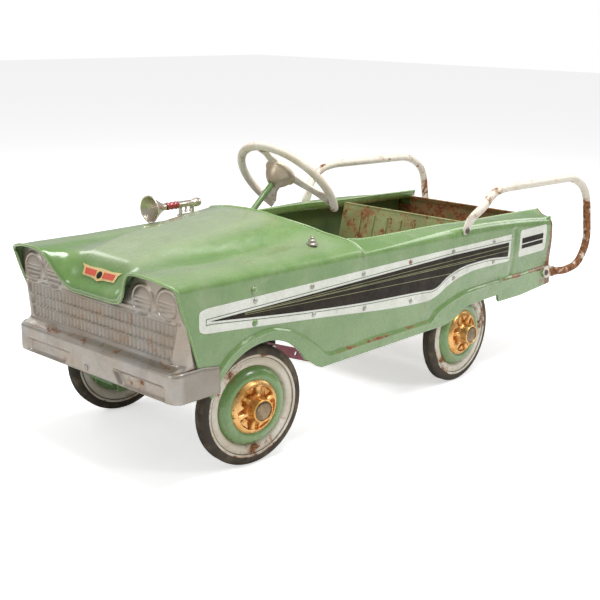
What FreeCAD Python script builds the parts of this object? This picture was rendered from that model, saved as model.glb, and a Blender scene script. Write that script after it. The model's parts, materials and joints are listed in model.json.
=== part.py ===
import FreeCAD, Part
import os
from math import asin, atan2, cos, degrees, radians, sin, sqrt

# A child's pressed-steel pedal car, in millimetres: +X is forward, +Y the car's left, +Z up.
# Everything is drawn with X = 0 at the left front wheel's centre and Z = 0 at the ground.
# save() then moves it so that the origin is the middle of the car's footprint.

V = FreeCAD.Vector
FORWARD = V(1, 0, 0)
LEFTWARD = V(0, 1, 0)
UP = V(0, 0, 1)

# Driving dimensions
ORIGIN_SHIFT = 425.38           # moves the footprint's middle to X = 0
SHEET = 1.5                     # body sheet, drawn thicker than the real 0.9
HALF_WIDTH = 206.0              # fender crease from the centre line
WHEEL_R = 101.6                 # 8 inch wheels
TYRE_WIDTH = 24.0
RIM_R = 87.5
RIM_FACE_Y = 187.5              # outer face of the wheels
KINGPIN_X = -7.0
KINGPIN_Y = 140.0
STEER_REST = -8.2               # degrees, the wheels rest turned a little to the car's right
REAR_AXLE_X = -592.5
AXLE_Z = WHEEL_R
AXLE_R = 6.35                   # half inch axle
RUNNING_GAP = 0.05              # radial clearance of every turning fit
HUB_R = 16.0
BEARING_R = 12.0
CRANK_THROW = 32.0
ROD_Y = 95.0                    # centre plane of each pedal rod
ROD_THICK = 3.0
ROD_HIGH = 20.0
ROD_BEND = 298.0                # from the crank pin to the bend
ROD_REACH = 420.0               # from the crank pin to the pedal bolt
SPARE_HOLE_REACH = 360.0        # second place for the pedal bolt, for a smaller child
PEDAL_BOLT_R = 4.0
HANGER_REACH = 448.0            # from the crank pin to the hanger bolt
HANGER_RISE = 55.0
HANGER_LENGTH = 140.0
SEAT_Z = 208.0
CARGO_Z = 212.0
COLUMN_R = 5.5
COLUMN_TILT = 40.7              # degrees above the horizontal
COLUMN_CROSSING = V(-183, 0, 374)   # where the column passes the cowl
SPINDLE_ARM = 70.0              # kingpin to tie rod pin
TIE_ROD_Z = 170.0
RAIL_TUBE_R = 8.4
RAIL_Y = 223.0
RAIL_FOOT_R = 11.0
HORN_Y = -165.0
HORN_Z = 367.0

COLUMN_AXIS = V(-cos(radians(COLUMN_TILT)), 0, sin(radians(COLUMN_TILT)))
WHEEL_UP = V(sin(radians(COLUMN_TILT)), 0, cos(radians(COLUMN_TILT)))
TIE_ROD_X = KINGPIN_X - SPINDLE_ARM


def save(name, shapes):
    """Write one node, as a group of its separate solids, in the part's own frame."""
    group = Part.Compound(list(shapes))
    group.translate(V(ORIGIN_SHIFT, 0, 0))
    group.exportStep("parts/%s.step" % name)


def box(low, high):
    """A box between two corners."""
    size = V(*high) - V(*low)
    return Part.makeBox(size.x, size.y, size.z, V(*low))


def rod(start, end, radius):
    """A round bar between two points."""
    run = end - start
    return Part.makeCylinder(radius, run.Length, start, run)


def ring(start, end, outer, inner):
    """A tube between two points."""
    return rod(start, end, outer).cut(rod(start, end, inner))


def joined(shapes):
    """One solid from several that overlap."""
    whole = shapes[0].multiFuse(shapes[1:])
    return whole.removeSplitter()


def mirrored(shape):
    """The same shape on the car's other side."""
    return shape.mirror(V(0, 0, 0), LEFTWARD)


def plate_xz(outline, y_low, y_high):
    """A flat plate standing along the car, from its outline of (x, z) points."""
    points = [V(x, y_low, z) for x, z in outline]
    face = Part.Face(Part.makePolygon(points + points[:1]))
    return face.extrude(V(0, y_high - y_low, 0))


def plate_xy(outline, z_low, z_high):
    """A flat plate lying level, from its outline of (x, y) points."""
    points = [V(x, y, z_low) for x, y in outline]
    face = Part.Face(Part.makePolygon(points + points[:1]))
    return face.extrude(V(0, 0, z_high - z_low))


def turned_profile(profile, centre, side=1):
    """A solid of revolution about a wheel axle: profile holds (radius, distance from the centre)."""
    points = [V(radius, side * out, 0) for radius, out in profile]
    face = Part.Face(Part.makePolygon(points + points[:1]))
    solid = face.revolve(V(0, 0, 0), LEFTWARD, 360)
    solid.translate(centre)
    return solid


def steered(shape, side):
    """Turn a straight-ahead front wheel piece to the rest steering angle."""
    shape.rotate(V(KINGPIN_X, side * KINGPIN_Y, 0), UP, STEER_REST)
    return shape


def column_point(along, across=0.0, aside=0.0):
    """A point measured from where the column passes the cowl, in the steering wheel's axes."""
    return COLUMN_CROSSING + COLUMN_AXIS * along + WHEEL_UP * across + LEFTWARD * aside


def blend(knots, value):
    """Straight-line interpolation in a list of (position, result) pairs, positions rising."""
    if value <= knots[0][0]:
        return knots[0][1]
    for (low, at_low), (high, at_high) in zip(knots, knots[1:]):
        if value <= high:
            return at_low + (at_high - at_low) * (value - low) / (high - low)
    return knots[-1][1]


# Curved sheet metal

def normal_at(grid, row, column):
    """The surface direction at one point of a grid, from its neighbours."""
    last_row = len(grid) - 1
    last_column = len(grid[0]) - 1
    down = grid[min(row + 1, last_row)][column] - grid[max(row - 1, 0)][column]
    over = grid[row][min(column + 1, last_column)] - grid[row][max(column - 1, 0)]
    direction = down.cross(over)
    direction.normalize()
    return direction


def curved_sheet(grid, thickness):
    """A sheet of even thickness whose outer face passes through a grid of points."""
    inner_grid = []
    for row, points in enumerate(grid):
        inner_grid.append([point + normal_at(grid, row, column) * thickness
                           for column, point in enumerate(points)])
    surfaces = []
    for points in (grid, inner_grid):
        surface = Part.BSplineSurface()
        surface.interpolate(points)
        surfaces.append(surface)
    outer, inner = surfaces
    u_low, u_high, v_low, v_high = outer.bounds()
    faces = [outer.toShape(), inner.toShape()]
    for u in (u_low, u_high):
        faces.append(Part.makeRuledSurface(outer.uIso(u).toShape(), inner.uIso(u).toShape()))
    for v in (v_low, v_high):
        faces.append(Part.makeRuledSurface(outer.vIso(v).toShape(), inner.vIso(v).toShape()))
    shell = Part.Shell(faces)
    shell.sewShape()
    solid = Part.Solid(shell)
    if solid.Volume < 0:
        solid.reverse()
    return solid


def crease_z(x):
    """Height of the crease where the side meets the top."""
    return blend([(-905, 296), (-760, 309), (-624, 318), (-509, 321), (-250, 322), (0, 328), (180, 332)], x)


def side_y(z):
    """Half width of the side panel at a height."""
    return blend([(130, 197), (150, 198), (204, 200.8), (260, 206), (340, 206)], z)


# Hood profiles: distance from the centre line, then (x, z) from the front edge to the cowl edge
HOOD_PROFILES = [
    (0, [(173, 282), (175, 286), (149, 325), (138, 339), (112, 347), (52, 358), (-46, 366), (-170, 373)]),
    (61, [(173, 283), (175, 288), (150, 326), (138, 338), (112, 345), (52, 357), (-46, 364), (-172, 372)]),
    (80, [(179, 300), (180, 305), (152, 331), (138, 337), (110, 341), (52, 352), (-46, 362), (-175, 372)]),
    (100, [(190, 331), (186, 337), (155, 339), (135, 339), (105, 340), (52, 345), (-46, 358), (-180, 371)]),
    (117, [(193, 344), (187, 344), (172, 343), (135, 342), (52, 343), (-46, 350), (-120, 360), (-188, 369)]),
    (140, [(193, 344), (187, 344), (172, 344), (135, 343), (52, 341), (-46, 342), (-120, 346), (-206, 357)]),
    (162, [(193, 343), (187, 343), (172, 343), (135, 342), (52, 341), (-46, 341), (-120, 343), (-235, 343)]),
    (185, [(188, 338), (182, 338), (168, 338), (132, 337), (52, 336), (-46, 336), (-120, 335), (-250, 334)]),
    (HALF_WIDTH, [(179, 332), (174, 332), (164, 331), (130, 331), (52, 329), (-46, 327), (-120, 325), (-250, 322)]),
]

# Top rail beside the cockpit and the cargo bed: x, inner edge height, middle height
RAIL_SECTIONS = [(-252, 340, 334), (-300, 333, 331), (-400, 330, 329), (-500, 328, 327),
                 (-624, 322, 324), (-760, 318, 322), (-898, 313, 318)]
RAIL_INNER_Y = 165.0

# Side panel outline as (x, z), from the brow down the front edge; the wheel arch is an arc
FRONT_EDGE = [(179, 345), (178, 333), (169, 297), (154, 259), (133, 204.5), (118, 146)]
ARCH_CENTRE = (-6, 93)
ARCH_R = 121.0
LOWER_EDGE = [(-137, 142), (-152, 135.5), (-517, 135), (-537, 137.5), (-565, 149), (-584, 159),
              (-608, 161), (-703, 162), (-706, 146), (-797, 144.5), (-914, 152), (-896, 298), (-896, 345)]


def evenly_spaced(points, count):
    """Points at equal steps along the line through a list of points."""
    return Part.makePolygon(points).discretize(Number=count)


def hood():
    columns = [(-across, profile) for across, profile in reversed(HOOD_PROFILES[1:])] + HOOD_PROFILES
    lengthwise = [evenly_spaced([V(x, across, z) for x, z in profile], 33) for across, profile in columns]
    grid = [evenly_spaced(list(row), 41) for row in zip(*lengthwise)]
    return curved_sheet(grid, SHEET)


def side_outline():
    """The side panel's edge, as a prism through the whole car."""
    arch_start = (105.0, 145.0)
    arch_end = (-110.0, 160.0)
    arch_top = (ARCH_CENTRE[0], ARCH_CENTRE[1] + ARCH_R)
    start, top, end = [V(x, 0, z) for x, z in (arch_start, arch_top, arch_end)]
    front = Part.makePolygon([V(x, 0, z) for x, z in FRONT_EDGE] + [start])
    arch = Part.Arc(start, top, end).toShape()
    rear = Part.makePolygon([end] + [V(x, 0, z) for x, z in LOWER_EDGE + FRONT_EDGE[:1]])
    face = Part.Face(Part.Wire(front.Edges + [arch] + rear.Edges))
    return face.extrude(V(0, 2 * HALF_WIDTH, 0))


def side_panel():
    stations = [190, 130, 52, -46, -150, -250, -380, -509, -624, -760, -905, -925]
    heights = [0.0, 0.2, 0.4, 0.6, 0.8, 1.0]
    lowest = 130.0
    grid = []
    for x in stations:
        top = crease_z(x) - 2.2
        levels = [top + (lowest - top) * share for share in heights]
        grid.append([V(x, side_y(z), z) for z in levels])
    return curved_sheet(grid, -SHEET).common(side_outline())


def top_rail():
    grid = []
    for x, inner_z, middle_z in RAIL_SECTIONS:
        outer_z = crease_z(x)
        grid.append([V(x, RAIL_INNER_Y, inner_z - 9), V(x, RAIL_INNER_Y + 1, inner_z),
                     V(x, 185, middle_z), V(x, 200, (middle_z + outer_z) / 2 + 1.5),
                     V(x, HALF_WIDTH, outer_z)])
    return curved_sheet(grid, SHEET)


# Front pressing: grille, lamps and bumper in one

GRILLE_X = 163.0
BUMPER_X = 181.0
BUMPER_LOW = 152.0
BUMPER_HIGH = 198.0
LAMP_YS = (118.5, 166.0)
LAMP_Z = 298.0
LAMP_R = 23.0


def rounded_plan(front, half_width, rear, corner):
    """Level outline of a bumper: a bar across the car whose rounded ends turn back along its sides."""
    left = V(front - corner, half_width, 0)
    left_mid = V(front - corner * (1 - cos(radians(45))), half_width - corner * (1 - sin(radians(45))), 0)
    left_front = V(front, half_width - corner, 0)
    right_front = V(front, -left_front.y, 0)
    right_mid = V(left_mid.x, -left_mid.y, 0)
    right = V(left.x, -left.y, 0)
    rear_left = V(rear, half_width, 0)
    rear_right = V(rear, -half_width, 0)
    edges = [Part.makeLine(rear_left, left), Part.Arc(left, left_mid, left_front).toShape(),
             Part.makeLine(left_front, right_front), Part.Arc(right_front, right_mid, right).toShape(),
             Part.makeLine(right, rear_right), Part.makeLine(rear_right, rear_left)]
    return Part.Face(Part.Wire(edges))


def bumper_block(inset, low, high):
    block = rounded_plan(BUMPER_X - inset, 204.0 - inset, 60.0, 24.0 - inset).extrude(V(0, 0, high - low))
    block.translate(V(0, 0, low))
    return block


def bumper():
    wall = bumper_block(0, BUMPER_LOW, BUMPER_HIGH).cut(bumper_block(SHEET, BUMPER_LOW - 1, BUMPER_HIGH + 1))
    keep = plate_xz([(200, 205), (200, 145), (162, 150), (107, 146), (88, 197), (88, 205)], -210, 210)
    wall = wall.common(keep)
    ledge = bumper_block(0.5, BUMPER_HIGH, BUMPER_HIGH + SHEET).cut(box((0, -210, 190), (158, 210, 210)))
    flange = bumper_block(0.5, BUMPER_LOW - SHEET, BUMPER_LOW).cut(box((0, -210, 140), (162.5, 210, 160)))
    return wall, ledge, flange


def grille_plate():
    """The upright plate behind the brow, with its sides folded back."""
    low = BUMPER_HIGH + SHEET
    outer = rounded_plan(GRILLE_X, 198.5, 130.0, 18.0).extrude(V(0, 0, 337 - low))
    inner = rounded_plan(GRILLE_X - SHEET, 198.5 - SHEET, 100.0, 18.0 - SHEET).extrude(V(0, 0, 337 - low))
    plate = outer.cut(inner)
    plate.translate(V(0, 0, low))
    plate = plate.common(plate_xz([(170, 190), (133, 190), (150, 259), (160, 297), (160, 340), (170, 340)], -210, 210))
    for half_width, top in ((86, 281), (104, 316), (200, 334)):
        plate = plate.cut(box((150, -half_width, top), (200, half_width, 345)))
    return plate


def grille_bumper():
    wall, ledge, flange = bumper()
    plate = grille_plate()
    embossing = []
    for side in (-1, 1):
        for lamp_y in LAMP_YS:
            centre = V(GRILLE_X - 1, side * lamp_y, LAMP_Z)
            embossing.append(rod(centre, centre + V(4, 0, 0), LAMP_R))
    rib_rows = [(203, 216), (219, 232), (235, 248), (251, 264)]
    for low, high in rib_rows:
        embossing.append(box((GRILLE_X - 1, -176, low), (GRILLE_X + 2.5, 176, high)))
    return joined([wall, ledge, flange, plate] + embossing)


# Inside of the body

def seat_pan():
    top = box((-606, -158, SEAT_Z), (-420, 158, SEAT_Z + SHEET))
    front_lip = box((-421.5, -158, SEAT_Z - 22), (-420, 158, SEAT_Z))
    ears = [box((-480, side * 158 if side > 0 else -198.5, SEAT_Z),
                (-420, 198.5 if side > 0 else -158, SEAT_Z + SHEET)) for side in (-1, 1)]
    return joined([top, front_lip] + ears)


def seat_back():
    lean = [(-608, SEAT_Z + SHEET + 0.3), (-634, 312), (-634, 316), (-642, 316), (-642, 312)]
    back = plate_xz(lean + [(-609.6, SEAT_Z + SHEET + 0.3)], -160, 160)
    ribs = []
    for step in range(-3, 4):
        rib_y = step * 35.5
        rib = plate_xz([(-609, 222), (-630, 300), (-627, 300), (-606, 222)], rib_y - 2, rib_y + 2)
        ribs.append(rib)
    return joined([back] + ribs)


def cargo_floor():
    return box((-889, -198, CARGO_Z), (-644, 198, CARGO_Z + SHEET))


def tailgate():
    outline = [(-905, 153), (-889, 296), (-883, 303), (-879, 302), (-882, 296), (-886, 290), (-890.5, 216.5),
               (-896.5, 210), (-903, 153)]
    panel = plate_xz(outline, -163, 163)
    wings = []
    for side in (-1, 1):
        low, high = sorted((side * 163, side * 196))
        wings.append(plate_xz([(-905, 153), (-891, 280), (-889, 280), (-903, 153)], low, high))
    return joined([panel] + wings)


# Chassis

BEAM_LOW = 80.0
BEAM_HIGH = 124.0
KNUCKLE_R = 11.0
KINGPIN_R = 4.75


def front_axle_beam():
    outer = box((KINGPIN_X - 14, -152, BEAM_LOW), (KINGPIN_X + 14, 152, BEAM_HIGH))
    hollow = box((KINGPIN_X - 11, -160, BEAM_LOW + 3), (KINGPIN_X + 20, 160, BEAM_HIGH - 3))
    fork_low = BEAM_LOW + 3
    fork_high = BEAM_HIGH - 3
    beam = outer.cut(hollow)
    for side in (-1, 1):
        low, high = sorted((side * 122, side * 160))
        beam = beam.cut(box((KINGPIN_X - 20, low, fork_low), (KINGPIN_X + 20, high, fork_high)))
        pin_top = V(KINGPIN_X, side * KINGPIN_Y, BEAM_HIGH + 5)
        beam = beam.cut(rod(V(KINGPIN_X, side * KINGPIN_Y, BEAM_LOW - 5), pin_top, KINGPIN_R))
    return beam


def kingpin(side):
    foot = V(KINGPIN_X, side * KINGPIN_Y, BEAM_LOW - 4)
    top = V(KINGPIN_X, side * KINGPIN_Y, BEAM_HIGH + 9)
    head = rod(foot, foot + UP * 4, 8)
    shank = rod(foot, top, KINGPIN_R)
    nut = rod(V(foot.x, foot.y, BEAM_HIGH), V(foot.x, foot.y, BEAM_HIGH + 6), 8)
    return joined([head, shank, nut])


def undercarriage():
    """Centre channel from the bumper back over the axle beam, with uprights to the fenders."""
    top = box((-30, -30, 138.5), (176, 30, 140.5))
    walls = [box((-30, y, BEAM_HIGH), (150, y + 2, 138.5)) for y in (-30, 28)]
    front_tab = box((160, -30, BUMPER_LOW), (176, 30, BUMPER_LOW + 2))
    front_riser = box((160, -30, 138.5), (162, 30, BUMPER_LOW + 2))
    top = top.cut(box((162, -40, 130), (190, 40, 145)))
    return joined([top, front_tab, front_riser] + walls)


def fender_bracket(side):
    """Upright angle that carries the axle beam from the fender."""
    outline = [(KINGPIN_X - 14, BEAM_HIGH), (KINGPIN_X + 14, BEAM_HIGH), (KINGPIN_X + 14, 320), (KINGPIN_X - 14, 320)]
    low, high = sorted((side * 104, side * 107))
    upright = plate_xz(outline, low, high)
    foot_low, foot_high = sorted((side * 78, side * 107))
    foot = box((KINGPIN_X - 14, foot_low, BEAM_HIGH), (KINGPIN_X + 14, foot_high, BEAM_HIGH + 3))
    arm_low, arm_high = sorted((side * 104, side * 204))
    arm = box((KINGPIN_X - 14, arm_low, 300), (KINGPIN_X + 14, arm_high, 303))
    return joined([upright, foot, arm])


def spindle(side):
    """Stub axle, knuckle and steering arm of one front wheel, straight ahead."""
    knuckle_low = V(KINGPIN_X, side * KINGPIN_Y, BEAM_LOW + 3.3)
    knuckle_high = V(KINGPIN_X, side * KINGPIN_Y, BEAM_HIGH - 3.3)
    knuckle = rod(knuckle_low, knuckle_high, KNUCKLE_R)
    hub = V(KINGPIN_X, side * KINGPIN_Y, AXLE_Z)
    stub = rod(hub, V(KINGPIN_X, side * 213, AXLE_Z), AXLE_R)
    collar = rod(hub, V(KINGPIN_X, side * 159, AXLE_Z), 9.5)
    arm_y = side * KINGPIN_Y
    arm_out = box((KINGPIN_X - 26, arm_y - 5, 90), (KINGPIN_X - 8, arm_y + 5, 98))
    arm_up = box((KINGPIN_X - 30, arm_y - 5, 90), (KINGPIN_X - 22, arm_y + 5, TIE_ROD_Z - 4))
    arm_back = box((TIE_ROD_X, arm_y - 8, TIE_ROD_Z - 8), (KINGPIN_X - 22, arm_y + 8, TIE_ROD_Z - 4))
    pin_foot = V(TIE_ROD_X, arm_y, TIE_ROD_Z - 8)
    arm_eye = rod(pin_foot, pin_foot + UP * 4, 8)
    tie_pin = rod(pin_foot, pin_foot + UP * 18, 4)
    body = joined([knuckle, stub, collar, arm_out, arm_up, arm_back, arm_eye, tie_pin])
    body = body.cut(rod(knuckle_low - UP * 5, knuckle_high + UP * 5, KINGPIN_R + RUNNING_GAP))
    return steered(body, side)


def steered_offset():
    """How far the tie rod rests from its straight-ahead place."""
    angle = radians(STEER_REST)
    return V(SPINDLE_ARM * (1 - cos(angle)), -SPINDLE_ARM * sin(angle), 0)


def tie_rod():
    """Flat bar between the steering arms, with a slotted plate that the column's crank drives."""
    low = TIE_ROD_Z - 3.5
    high = TIE_ROD_Z + 1.5
    bar = box((TIE_ROD_X - 6, -KINGPIN_Y, low), (TIE_ROD_X + 6, KINGPIN_Y, high))
    ends = [rod(V(TIE_ROD_X, y, low), V(TIE_ROD_X, y, high), 9) for y in (-KINGPIN_Y, KINGPIN_Y)]
    slot_plate = box((TIE_ROD_X - 22, -14, low), (TIE_ROD_X + 22, 14, high))
    bar = joined([bar, slot_plate] + ends)
    for y in (-KINGPIN_Y, KINGPIN_Y):
        bar = bar.cut(rod(V(TIE_ROD_X, y, low - 5), V(TIE_ROD_X, y, high + 5), 4 + RUNNING_GAP))
    bar = bar.cut(box((TIE_ROD_X - 17, -6.5, low - 5), (TIE_ROD_X + 17, 6.5, high + 5)))
    bar.translate(steered_offset())
    return bar


# Steering column and wheel

STEERING_WHEEL_R = 100.0
WHEEL_RIM_R = 8.5
RIM_GAP = 56.0                  # degrees each side of the bottom where the rim is open
SPOKE_FEET = ((0, 71.4), (84, -66), (-84, -66))     # aside and across, where the spokes meet the rim
HUB_PLANE = 91.5                # along the column from the cowl to the rim's plane
RIM_DROP = -28.6                # the rim's centre is below the column's line, in the wheel's plane
COLUMN_FOOT = -330.0


def crank_reach():
    """Distance from the column's line to the middle of the tie rod."""
    offset = V(TIE_ROD_X, 0, TIE_ROD_Z - 1) - COLUMN_CROSSING
    return offset.dot(WHEEL_UP), offset.dot(COLUMN_AXIS)


def turned_column(shape):
    """Turn a straight-ahead column piece to the rest steering angle."""
    reach = -crank_reach()[0]
    angle = degrees(asin(SPINDLE_ARM * sin(radians(STEER_REST)) / reach))
    shape.rotate(COLUMN_CROSSING, COLUMN_AXIS, angle)
    return shape


def steering_column():
    reach, along = crank_reach()
    shaft = rod(column_point(COLUMN_FOOT), column_point(HUB_PLANE + 19.5), COLUMN_R)
    web = rod(column_point(along), column_point(along, reach + 12), 5)
    pin_top = column_point(along, reach + 12)
    pin = rod(pin_top, V(TIE_ROD_X, 0, TIE_ROD_Z - 12), 4)
    knee = Part.makeSphere(5, pin_top)
    return turned_column(joined([shaft, web, knee, pin]))


def steering_rim():
    """C-shaped rim, open at the bottom, with three spokes that meet the hub plate."""
    centre = column_point(HUB_PLANE, RIM_DROP)
    start, right, top = [centre + LEFTWARD * STEERING_WHEEL_R * cos(radians(angle)) +
                         WHEEL_UP * STEERING_WHEEL_R * sin(radians(angle)) for angle in (RIM_GAP - 90, 0, 90)]
    left, end = [V(p.x, -p.y, p.z) for p in (right, start)]
    path = Part.Wire([Part.Arc(start, right, top).toShape(), Part.Arc(top, left, end).toShape()])
    tangent = path.Edges[0].tangentAt(path.Edges[0].FirstParameter)
    section = Part.Wire(Part.makeCircle(WHEEL_RIM_R, start, tangent))
    rim = path.makePipeShell([section], True, False)
    spokes = []
    for aside, across in SPOKE_FEET:
        spokes.append(rod(column_point(HUB_PLANE + 8), column_point(HUB_PLANE, across, aside), 7))
    plate = rod(column_point(HUB_PLANE + 4), column_point(HUB_PLANE + 12), 30)
    whole = joined([rim, plate] + spokes)
    for neighbour in (bell_cone(), rod(column_point(HUB_PLANE + 12), column_point(HUB_PLANE + 20), 12),
                      rod(column_point(HUB_PLANE - 20), column_point(HUB_PLANE + 40), COLUMN_R)):
        whole = whole.cut(neighbour)
    return turned_column(whole)


def bell_cone():
    """Bowl-shaped collar under the steering wheel, before its bore."""
    return Part.makeCone(11, 30, 26, column_point(HUB_PLANE - 22), COLUMN_AXIS)


def steering_bell():
    return turned_column(bell_cone().cut(rod(column_point(HUB_PLANE - 23), column_point(HUB_PLANE + 5), COLUMN_R)))


def steering_nut():
    low = column_point(HUB_PLANE + 12)
    nut = Part.makeCylinder(9, 7, low, COLUMN_AXIS)
    return turned_column(nut.cut(rod(low - COLUMN_AXIS, low + COLUMN_AXIS * 20, COLUMN_R)))


def column_bracket(along, foot_z):
    """Bearing plate for the column: an eye on a strap across the car."""
    start = column_point(along - 3)
    end = column_point(along + 3)
    eye = rod(start, end, 13)
    centre = column_point(along)
    if foot_z < centre.z:
        strap = box((centre.x - 8, -10, foot_z), (centre.x + 2, 10, centre.z - 4))
    else:
        strap = box((centre.x - 4, -12, centre.z + 4), (centre.x + 6, 12, foot_z))
    whole = joined([eye, strap])
    return whole.cut(rod(column_point(along - 30), column_point(along + 30), COLUMN_R + RUNNING_GAP))


# Wheels: distances are outward from the car's centre plane

def tyre_profile():
    inner = RIM_FACE_Y - TYRE_WIDTH
    shoulder = 4.0
    outline = [(RIM_R, inner), (WHEEL_R - shoulder, inner), (WHEEL_R - 1, inner + shoulder),
               (WHEEL_R, inner + 7), (WHEEL_R, RIM_FACE_Y - 7), (WHEEL_R - 1, RIM_FACE_Y - shoulder),
               (WHEEL_R - shoulder, RIM_FACE_Y), (RIM_R, RIM_FACE_Y)]
    return outline


def disc_profile():
    return [(HUB_R - 2, 162), (HUB_R, 162), (HUB_R, 174), (52, 178), (66, 180), (RIM_R - 2.5, 180),
            (RIM_R - 2.5, 166), (RIM_R, 166), (RIM_R, RIM_FACE_Y - 0.5), (RIM_R - 3, RIM_FACE_Y),
            (RIM_R - 7, 185), (68, 186), (64, 190), (57, 193), (51, 192), (46, 187), (HUB_R, 186), (HUB_R - 2, 186)]


def bearing_profile(bore):
    return [(bore, 163), (HUB_R - 2, 163), (HUB_R - 2, 170), (bore + 3, 171), (bore + 3, 181),
            (HUB_R - 2, 182), (HUB_R - 2, 188), (bore, 188)]


def cap_profile():
    """Hubcap: a domed cup with a round nose, hollow over the axle's end."""
    outline = [(48, 189.4), (47.6, 195), (41, 202), (28, 207), (21, 210), (20, 216), (20, 226), (18, 228), (0, 228)]
    inside = [(0, 226), (18, 226), (18.4, 212), (22, 208), (28, 205), (39.5, 200.5), (46, 194.5), (46.4, 189.4)]
    return outline + inside


def wheel(name, centre_x, side, bore, steer):
    """Write one wheel's four pieces."""
    centre = V(centre_x, 0, AXLE_Z)
    pieces = {"tyre": tyre_profile(), "wheel_disc": disc_profile(),
              "wheel_bearing": bearing_profile(bore), "hubcap": cap_profile()}
    for piece, profile in pieces.items():
        solid = turned_profile(profile, centre, side)
        if steer:
            steered(solid, side)
        save("%s_%s" % (name, piece), [solid])


def axle_nut(centre_x, side, steer):
    centre = V(centre_x, 0, AXLE_Z)
    nut = turned_profile([(AXLE_R, 188.4), (11, 188.4), (11, 196), (AXLE_R, 196)], centre, side)
    if steer:
        steered(nut, side)
    return nut


# Rear axle and pedals

def crank_axle():
    """Axle bent into two opposite cranks: the left one rests forward, the right one rearward."""
    centre = V(REAR_AXLE_X, 0, AXLE_Z)
    runs = [rod(centre - LEFTWARD * 84, centre + LEFTWARD * 84, AXLE_R)]
    for side in (-1, 1):
        pin = centre + FORWARD * (side * CRANK_THROW)
        aside = LEFTWARD * side
        runs.append(rod(centre + aside * 106, centre + aside * 213, AXLE_R))
        runs.append(rod(pin + aside * 84, pin + aside * 106, AXLE_R))
        for station in (84, 106):
            runs.append(rod(centre + aside * station, pin + aside * station, AXLE_R))
            runs.append(Part.makeSphere(AXLE_R, centre + aside * station))
            runs.append(Part.makeSphere(AXLE_R, pin + aside * station))
    return joined(runs)


def crank_pin(side):
    return V(REAR_AXLE_X + side * CRANK_THROW, side * ROD_Y, AXLE_Z)


def pedal_rod(side):
    pin = crank_pin(side)
    half = ROD_HIGH / 2
    knee = (pin.x + ROD_BEND, pin.z)
    tip = (pin.x + HANGER_REACH, pin.z + HANGER_RISE)
    low_y = side * ROD_Y - ROD_THICK / 2
    high_y = side * ROD_Y + ROD_THICK / 2
    slope = atan2(tip[1] - knee[1], tip[0] - knee[0])
    lean_x = -half * sin(slope)
    lean_z = half * cos(slope)
    outline = [(pin.x, pin.z - half), (knee[0] + 2, pin.z - half), (tip[0] - lean_x, tip[1] - lean_z),
               (tip[0] + lean_x, tip[1] + lean_z), (knee[0] - 2, pin.z + half), (pin.x, pin.z + half)]
    bar = plate_xz(outline, low_y, high_y)
    rear_eye = rod(V(pin.x, low_y, pin.z), V(pin.x, high_y, pin.z), 13)
    front_eye = rod(V(tip[0], low_y, tip[1]), V(tip[0], high_y, tip[1]), half)
    bar = joined([bar, rear_eye, front_eye])
    bar = bar.cut(rod(pin - LEFTWARD * 5, pin + LEFTWARD * 5, AXLE_R + RUNNING_GAP))
    for reach in (ROD_REACH, SPARE_HOLE_REACH):
        hole = rod_point(side, reach)
        bar = bar.cut(rod(hole - LEFTWARD * 5, hole + LEFTWARD * 5, PEDAL_BOLT_R))
    return bar


def rod_point(side, reach):
    """A point on the rising front part of a pedal rod."""
    pin = crank_pin(side)
    share = (reach - ROD_BEND) / (HANGER_REACH - ROD_BEND)
    return V(pin.x + reach, side * ROD_Y, pin.z + HANGER_RISE * share)


def pedal_bolt(side):
    """Bolt through the rod that the pedal turns on, on the rod's inner side."""
    centre = rod_point(side, ROD_REACH)
    inward = LEFTWARD * -side
    head = rod(centre - inward * 1.5, centre - inward * 2.4, 7)
    shank = rod(centre - inward * 1.5, centre + inward * 62, PEDAL_BOLT_R)
    cap = rod(centre + inward * 58.5, centre + inward * 62, 7)
    return joined([head, shank, cap])


def pedal(side):
    """Rubber block with grooves, free on its bolt."""
    centre = rod_point(side, ROD_REACH)
    low_y, high_y = sorted((side * (ROD_Y - 2.5), side * (ROD_Y - 57.5)))
    block = box((centre.x - 13, low_y, centre.z - 30), (centre.x + 13, high_y, centre.z + 24))
    block = block.makeFillet(5, block.Edges)
    for step in range(-2, 3):
        z = centre.z - 3 + step * 10
        groove = box((centre.x - 14, low_y - 1, z - 1.5), (centre.x - 11, high_y + 1, z + 1.5))
        block = block.cut(groove)
    bore = rod(V(centre.x, low_y - 5, centre.z), V(centre.x, high_y + 5, centre.z), PEDAL_BOLT_R + RUNNING_GAP)
    return block.cut(bore)


def hanger_top(side):
    """Pivot that a pedal hanger swings on, above the middle of its stroke."""
    drop = sqrt(HANGER_LENGTH ** 2 - CRANK_THROW ** 2)
    return V(REAR_AXLE_X + HANGER_REACH, side * (ROD_Y + 5), AXLE_Z + HANGER_RISE + drop)


def hanger(side):
    top = hanger_top(side)
    foot = V(crank_pin(side).x + HANGER_REACH, top.y, AXLE_Z + HANGER_RISE)
    inward = LEFTWARD * -side
    strap = box((top.x - 8, top.y - 1.25, top.z - HANGER_LENGTH), (top.x + 8, top.y + 1.25, top.z))
    strap.rotate(top, LEFTWARD, -side * degrees(asin(CRANK_THROW / HANGER_LENGTH)))
    eyes = [rod(point - LEFTWARD * 1.25, point + LEFTWARD * 1.25, 9) for point in (top, foot)]
    strap = joined([strap] + eyes)
    strap = strap.cut(rod(top - LEFTWARD * 5, top + LEFTWARD * 5, 4 + RUNNING_GAP))
    stud = rod(foot + inward * 1.25, foot + inward * 2.5, 6)
    washer = rod(foot - inward * 1.25, foot - inward * 4, 6)
    return joined([strap, stud, washer])


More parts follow.
